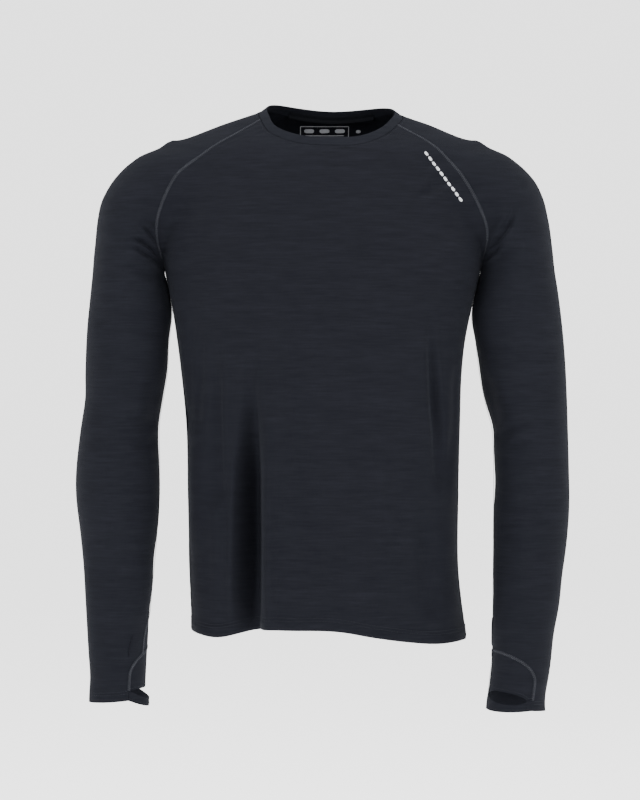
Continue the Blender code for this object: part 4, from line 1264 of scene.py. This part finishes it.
def knit_height(tree, wale, course):
    """Height of plain knit, from the UV map in metres: rows of small v shapes."""
    knit = tree.nodes.new("ShaderNodeUVMap")
    knit.uv_map = "knit"
    parts = tree.nodes.new("ShaderNodeSeparateXYZ")
    tree.links.new(knit.outputs["UV"], parts.inputs[0])
    u = maths(tree, "MULTIPLY", parts.outputs["X"], 2 * math.pi / wale)
    v = maths(tree, "MULTIPLY", parts.outputs["Y"], 2 * math.pi / course)
    half_turn = maths(tree, "SINE", maths(tree, "MULTIPLY", u, 0.5), 0.0)
    slant = maths(tree, "MULTIPLY", maths(tree, "ABSOLUTE", half_turn, 0.0), 3.0)
    columns = maths(tree, "ABSOLUTE", maths(tree, "SINE", u, 0.0), 0.0)
    loops = maths(tree, "SINE", maths(tree, "ADD", v, slant), 0.0)
    columns, loops = maths(tree, "MULTIPLY", columns, 0.6), maths(tree, "MULTIPLY", loops, 0.4)
    return maths(tree, "ADD", columns, loops)


def bumped(tree, shader, height, strength, distance):
    bump = tree.nodes.new("ShaderNodeBump")
    bump.inputs["Strength"].default_value = strength
    bump.inputs["Distance"].default_value = distance
    tree.links.new(height, bump.inputs["Height"])
    tree.links.new(bump.outputs["Normal"], shader.inputs["Normal"])


def jersey(name, dark, middle, light, sheen, wale=0.0011, course=0.0009):
    """Brushed jersey with slubs: fine level streaks in the colour, over plain knit."""
    cloth, tree, shader = tree_of(name, middle, 0.88, sheen)
    streaks = noise(tree, 1.0, 4.0, (34, 34, 480))
    bands = noise(tree, 1.0, 3.0, (11, 11, 130))
    heather = noise(tree, 900.0, 1.0, (1, 1, 1.6))
    mix = maths(tree, "MULTIPLY", streaks, 0.55)
    mix = maths(tree, "ADD", mix, maths(tree, "MULTIPLY", bands, 0.25))
    mix = maths(tree, "ADD", mix, maths(tree, "MULTIPLY", heather, 0.20))
    colour = ramp(tree, mix, ((0.36, dark), (0.50, middle), (0.66, light)))
    tree.links.new(colour, shader.inputs["Base Color"])
    height = maths(tree, "ADD", knit_height(tree, wale, course), maths(tree, "MULTIPLY", streaks, 1.2))
    bumped(tree, shader, height, 0.30, 0.0005)
    return cloth


def woven_tape(name, dark, light):
    """Herringbone tape."""
    cloth, tree, shader = tree_of(name, light, 0.8, 0.1)
    knit = tree.nodes.new("ShaderNodeUVMap")
    knit.uv_map = "knit"
    parts = tree.nodes.new("ShaderNodeSeparateXYZ")
    tree.links.new(knit.outputs["UV"], parts.inputs[0])
    fold = maths(tree, "PINGPONG", parts.outputs["Y"], 0.0025)
    slope = maths(tree, "ADD", parts.outputs["X"], fold)
    twill = maths(tree, "SINE", maths(tree, "MULTIPLY", slope, 2 * math.pi / 0.0011), 0.0)
    share = maths(tree, "ADD", maths(tree, "MULTIPLY", twill, 0.5), 0.5)
    tree.links.new(ramp(tree, share, ((0.2, dark), (0.8, light))), shader.inputs["Base Color"])
    bumped(tree, shader, share, 0.4, 0.0002)
    return cloth


def thread_material(name, dark, light):
    """Twisted sewing thread, a little uneven in colour."""
    cloth, tree, shader = tree_of(name, light, 0.7, 0.2)
    colour = ramp(tree, noise(tree, 260.0, 2.0, (1, 1, 1)), ((0.3, dark), (0.7, light)))
    tree.links.new(colour, shader.inputs["Base Color"])
    bumped(tree, shader, noise(tree, 3000.0, 1.0, (1, 1, 1)), 0.3, 0.0002)
    return cloth


def print_material(name, dark, light):
    """Rubbery print, worn a little thin in places."""
    cloth, tree, shader = tree_of(name, light, 0.55, 0.0)
    colour = ramp(tree, noise(tree, 700.0, 3.0, (1, 1, 1)), ((0.25, dark), (0.5, light)))
    tree.links.new(colour, shader.inputs["Base Color"])
    bumped(tree, shader, noise(tree, 1500.0, 1.0, (1, 1, 1)), 0.15, 0.0002)
    return cloth


def printed(name, strips, surface, from_y, way_y, cloth):
    """Thin printed strips on a piece: each runs from x1, z1 to x2, z2 and is so wide."""
    corners = [tuple(v.co) for v in surface.data.vertices]
    tree = BVHTree.FromPolygons(corners, [tuple(p.vertices) for p in surface.data.polygons])
    pieces = []
    for x1, z1, x2, z2, width in strips:
        length = math.hypot(x2 - x1, z2 - z1)
        way = np.array((x2 - x1, z2 - z1)) / length
        side = np.array((-way[1], way[0]))
        cells = max(4, round(length / 0.0008))
        rows = []
        for across in np.linspace(-0.5, 0.5, 5):
            row = []
            for share in np.linspace(0, 1, cells + 1):
                # Narrower towards both ends, so that they look rounded
                end = min(share, 1 - share) * length
                narrow = math.sqrt(min(1, 0.25 + 0.75 * end / min(width / 2, length / 2)))
                x, z = np.array((x1, z1)) + way * share * length + side * across * width * narrow
                spot, out, _, _ = tree.ray_cast((x, from_y, z), (0, way_y, 0))
                lift = PRINT_LIFT if out.y * way_y < 0 else -PRINT_LIFT
                row.append(np.array(spot) + np.array(out) * lift)
            rows.append(row)
        grid = np.array(rows)
        shell = grid + np.array((0, way_y * PRINT_THICK, 0))
        pieces.append(mesh_of(f"{name}_{len(pieces)}", grid, shell, False, cloth))
    return joined(name, pieces)


def box_outline(x1, z1, x2, z2, width):
    """The four sides of an upright box, as strips."""
    corners = ((x1, z1), (x2, z1), (x2, z2), (x1, z2))
    return [(*a, *b, width) for a, b in zip(corners, corners[1:] + corners[:1])]


def area_light(name, place, target, size, power):
    """A soft lamp aimed at a point."""
    data = bpy.data.lights.new(name, "AREA")
    data.shape = "RECTANGLE"
    data.size, data.size_y = size
    data.energy = power
    lamp = bpy.data.objects.new(name, data)
    bpy.context.scene.collection.objects.link(lamp)
    lamp.location = place
    aim = np.array(target, float) - np.array(place, float)
    flat = math.hypot(aim[0], aim[1])
    lamp.rotation_euler = (math.atan2(flat, -aim[2]), 0, math.atan2(aim[1], aim[0]) - math.pi / 2)
    return lamp


def add_piece(name, outer, inner, closed, cloth, node):
    """One piece of cloth in place of its CAD node."""
    piece = mesh_of(name, outer, inner, closed, cloth)
    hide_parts(node)
    return piece


def make_panel(face, folds, cloth, thread):
    """The front or the back, with its hem and the hem's stitches."""
    smooth = drawn_in(folded(body_panel(face), folds))
    grid = draped(smooth, body_form, False)
    outer, inner = cloth_shell(grid, body_form, False, JERSEY)
    out = (outer - inner) / JERSEY
    grid = hemmed(grid, out)
    piece = add_piece(f"{face}_cloth", grid, grid - out * JERSEY, False, cloth, f"{face}_panel")
    rows = []
    for number, height in enumerate(HEM_ROWS_OF_STITCHES):
        line = row_above(grid, height)
        rows.append(row_stitches(f"{face}_hem_row_{number}", line, body_form, thread))
    joined(f"{face}_hem_stitches", rows)
    return piece


def make_sleeve(side, cloth):
    """One sleeve: the piece and its smooth grid."""
    form = sleeve_form(side)
    tube = sleeve(side)
    tube[0] = drawn_in(tube[:2], closed=True)[0]
    outer, inner = cloth_shell(draped(tube, form, True), form, True, JERSEY)
    node = f"sleeve_{side}"
    return add_piece(f"{node}_cloth", outer, inner, True, cloth, node), tube


def make_small(side, name, grid, cloth, node):
    """A gusset or a loop, set into a cuff: the piece and its grid."""
    grid = drawn_in(grid)
    outer, inner = cloth_shell(grid, arm_form(side), False, JERSEY)
    return add_piece(f"{name}_{side}_cloth", outer, inner, False, cloth, f"{node}_{side}"), grid


def stitch_cuff(side, tube, panel, loop, seam_thread, hem_thread):
    """The stitches of one cuff: round the gusset, along both lips of the thumb hole, round the end."""
    arm = arm_form(side)
    arch = np.concatenate([panel[:, 0], panel[-1], panel[::-1, -1]])
    flat_seam(f"gusset_{side}_stitches", arch, arm, seam_thread)
    lips = []
    for name, grid, height in (("lip", panel, 0.0030), ("low", loop, 0.0026)):
        line = row_above(grid, height)
        lips.append(row_stitches(f"{name}_{side}_row", line, arm, hem_thread, LIP_STITCH))
    joined(f"thumb_{side}_stitches", lips)
    first, rise, over, fall = (cells * FINE for cells in notch_columns(side))
    opening = rise + over + fall
    cuff = np.roll(tube, -(first + opening), axis=1)[::-1, : SLEEVE_AROUND * FINE - opening + 1]
    rows = []
    for number, height in enumerate(CUFF_ROWS_OF_STITCHES):
        line = row_above(cuff, height)
        rows.append(row_stitches(f"cuff_{side}_{number}", line, arm, hem_thread))
    joined(f"cuff_{side}_stitches", rows)


def stitch_seams(side, tube, thread):
    """The flat seams of one side: under the arm, along both raglans and down the side."""
    under = flat_seam(f"underarm_{side}_stitches", tube[FINE // 2 :, 0], arm_form(side), thread)
    lines = {face: raglan(side, face, 120) for face in ("front", "back")}
    lines["side"] = side_seam(side, np.linspace(0, 1, 200))
    seams = [flat_seam(f"seam_{side}_{name}", line, body_form, thread) for name, line in lines.items()]
    joined(f"body_{side}_stitches", seams)


def make_neck(band_cloth, tape_cloth, thread):
    """The neckband and the tape inside the back neck, with the stitches under the band."""
    inside = np.append(NECK_MIDDLE, -0.03)
    band = neckband((1 - np.cos(np.linspace(0, math.pi, 15))) / 2)
    outer, inner = rounded(band, True, BAND_CLOTH, band - inside)
    band_piece = add_piece("neckband_cloth", outer, inner, True, band_cloth, "neckband")
    tape = neck_tape()
    outer, inner = rounded(tape, False, TAPE_CLOTH, tape - inside)
    tape_piece = add_piece("neck_tape_cloth", outer, inner, False, tape_cloth, "neck_tape")
    seam = neck_ring()
    down = seam - neckband((0, 1))[1]
    down /= np.linalg.norm(down, axis=1, keepdims=True)
    line = laid_on(body_form, seam + down * 0.0030)
    stitches = row_stitches("neck_stitches", line, body_form, thread, 0.0030, closed=True)
    return band_piece, tape_piece


def make_cloth():
    """Every cut piece, with its stitches, in place of its CAD node."""
    body_cloth = jersey("jersey_body", *BODY_TONES, sheen=SHEEN)
    sleeve_cloth = jersey("jersey_sleeves", *SLEEVE_TONES, sheen=SHEEN)
    band_cloth = jersey("jersey_neckband", *BAND_TONES, sheen=SHEEN, wale=0.0009)
    tape_cloth = woven_tape("tape_weave", *TAPE_TONES)
    seam_thread = thread_material("seam_thread", *SEAM_TONES)
    hem_thread = thread_material("hem_thread", *HEM_TONES)
    pieces = {}
    for face, folds in (("front", FRONT_FOLDS), ("back", BACK_FOLDS)):
        pieces[face] = make_panel(face, folds, body_cloth, hem_thread)
    for side in SIGN:
        piece, tube = make_sleeve(side, sleeve_cloth)
        pieces[f"sleeve_{side}"] = piece
        piece, panel = make_small(side, "gusset", gusset_panel(side), sleeve_cloth, "thumb_gusset")
        pieces[f"gusset_{side}"] = piece
        piece, loop = make_small(side, "loop", thumb_loop(side), sleeve_cloth, "thumb_loop")
        pieces[f"loop_{side}"] = piece
        stitch_cuff(side, tube, panel, loop, seam_thread, hem_thread)
        stitch_seams(side, tube, seam_thread)
    pieces["neckband"], pieces["neck_tape"] = make_neck(band_cloth, tape_cloth, hem_thread)
    return pieces


def make_dashes(front):
    """The row of dashes beside the left raglan seam."""
    cloth = print_material("plain_print", *PRINT_TONES)
    start, stop = np.array(DASHES_FROM), np.array(DASHES_TO)
    way = (stop - start) / np.linalg.norm(stop - start)
    dashes = []
    for share in (np.arange(DASH_COUNT) + 0.5) / DASH_COUNT:
        middle = start + (stop - start) * share
        a, b = middle - way * DASH_LENGTH / 2, middle + way * DASH_LENGTH / 2
        dashes.append((*a, *b, DASH_WIDTH))
    printed("chest_dashes", dashes, front, -0.5, 1, cloth)


def make_frame(back):
    """The frame inside the back neck, with three blocks and two lines in it and a block beside it."""
    (x, z), (wide, high) = FRAME_MIDDLE, FRAME_SIZE
    left, right, low, top = x - wide / 2, x + wide / 2, z - high / 2, z + high / 2
    strips = box_outline(left, low, right, top, FRAME_LINE)
    for share in FRAME_BLOCKS:
        middle = left + wide * share
        reach = BLOCK_LENGTH / 2
        strips.append((middle - reach, z + BLOCK_RISE, middle + reach, z + BLOCK_RISE, BLOCK_WIDTH))
    for drop, short in FRAME_LINES:
        strips.append((left + FRAME_INSET, z - drop, right - short, z - drop, FRAME_LINE_WIDTH))
    strips.append((right + 0.010, z + 0.002, right + 0.016, z + 0.002, 0.0040))
    cloth = print_material("plain_neck_print", *NECK_PRINT_TONES)
    printed("neck_frame", strips, back, 0.0, 1, cloth)


def make_floor():
    """A wide pale floor that glows a little, so that no horizon shows."""
    corners = [(x * FLOOR_REACH, y * FLOOR_REACH, 0) for x, y in ((-1, -1), (1, -1), (1, 1), (-1, 1))]
    mesh = bpy.data.meshes.new("floor")
    mesh.from_pydata(corners, [], [(0, 1, 2, 3)])
    floor = bpy.data.objects.new("floor", mesh)
    floor.location = (0, 0, FLOOR_HEIGHT)
    bpy.context.scene.collection.objects.link(floor)
    pale = bpy.data.materials.new("pale_floor")
    pale.use_nodes = True
    shader = pale.node_tree.nodes["Principled BSDF"]
    shader.inputs["Base Color"].default_value = (0.9, 0.9, 0.9, 1)
    shader.inputs["Roughness"].default_value = 0.9
    shader.inputs["Emission Color"].default_value = (1, 1, 1, 1)
    shader.inputs["Emission Strength"].default_value = FLOOR_GLOW
    mesh.materials.append(pale)


def make_world():
    """A plain white studio, whose backdrop is brighter than the light that it gives."""
    world = bpy.data.worlds.new("studio")
    world.use_nodes = True
    tree = world.node_tree
    background = tree.nodes["Background"]
    background.inputs["Color"].default_value = (1, 1, 1, 1)
    rays = tree.nodes.new("ShaderNodeLightPath")
    brightness = tree.nodes.new("ShaderNodeMapRange")
    brightness.inputs["To Min"].default_value = WORLD_STRENGTH
    brightness.inputs["To Max"].default_value = BACKDROP
    tree.links.new(rays.outputs["Is Camera Ray"], brightness.inputs["Value"])
    tree.links.new(brightness.outputs["Result"], background.inputs["Strength"])
    bpy.context.scene.world = world


def make_camera():
    """A long lens in front of the middle of the top, level."""
    data = bpy.data.cameras.new("camera")
    data.sensor_width = 36.0
    data.lens = CAMERA_LENS
    camera = bpy.data.objects.new("camera", data)
    camera.location = CAMERA_PLACE
    camera.rotation_euler = (math.pi / 2, 0, 0)
    bpy.context.scene.collection.objects.link(camera)
    bpy.context.scene.camera = camera


# Colours, from darkest to lightest
BODY_TONES = ((0.0056, 0.0061, 0.0090), (0.0076, 0.0082, 0.0118), (0.0102, 0.0109, 0.0152))
SLEEVE_TONES = ((0.0058, 0.0064, 0.0094), (0.0079, 0.0086, 0.0123), (0.0106, 0.0114, 0.0158))
BAND_TONES = ((0.0066, 0.0073, 0.0104), (0.0090, 0.0098, 0.0136), (0.0118, 0.0127, 0.0172))
TAPE_TONES = ((0.0022, 0.0025, 0.0036), (0.0060, 0.0067, 0.0092))
SEAM_TONES = ((0.0240, 0.0255, 0.0315), (0.0420, 0.0440, 0.0520))
HEM_TONES = ((0.0070, 0.0080, 0.0110), (0.0130, 0.0142, 0.0180))
PRINT_TONES = ((0.42, 0.43, 0.45), (0.62, 0.63, 0.65))
NECK_PRINT_TONES = ((0.26, 0.27, 0.30), (0.42, 0.43, 0.46))
SHEEN = 0.03
SHINE = 0.08

# How far the floor reaches, and its height below the shoulders
FLOOR_REACH = 14.0
FLOOR_HEIGHT = -1.10
FLOOR_GLOW = 2.1
WORLD_STRENGTH = 0.40
BACKDROP = 2.47
LIGHT_TARGET = (0, 0, -0.35)
LIGHTS = (
    # name, place, width and height, power
    ("key_left", (-2.2, -2.4, 1.6), (1.6, 2.2), 70),
    ("key_right", (2.4, -2.2, 1.4), (1.6, 2.2), 64),
    ("rim_left", (-2.6, 1.2, 0.8), (1.0, 2.4), 5),
    ("rim_right", (2.6, 1.2, 0.8), (1.0, 2.4), 5),
    ("top", (0.0, -0.4, 2.6), (2.4, 1.6), 115),
)
CAMERA_PLACE = (-0.008, -3.5, -0.374)
CAMERA_LENS = 121.15

cloth_pieces = make_cloth()
make_dashes(cloth_pieces["front"])
make_frame(cloth_pieces["back"])
make_floor()
make_world()
for name, place, size, power in LIGHTS:
    area_light(name, place, LIGHT_TARGET, size, power)
make_camera()
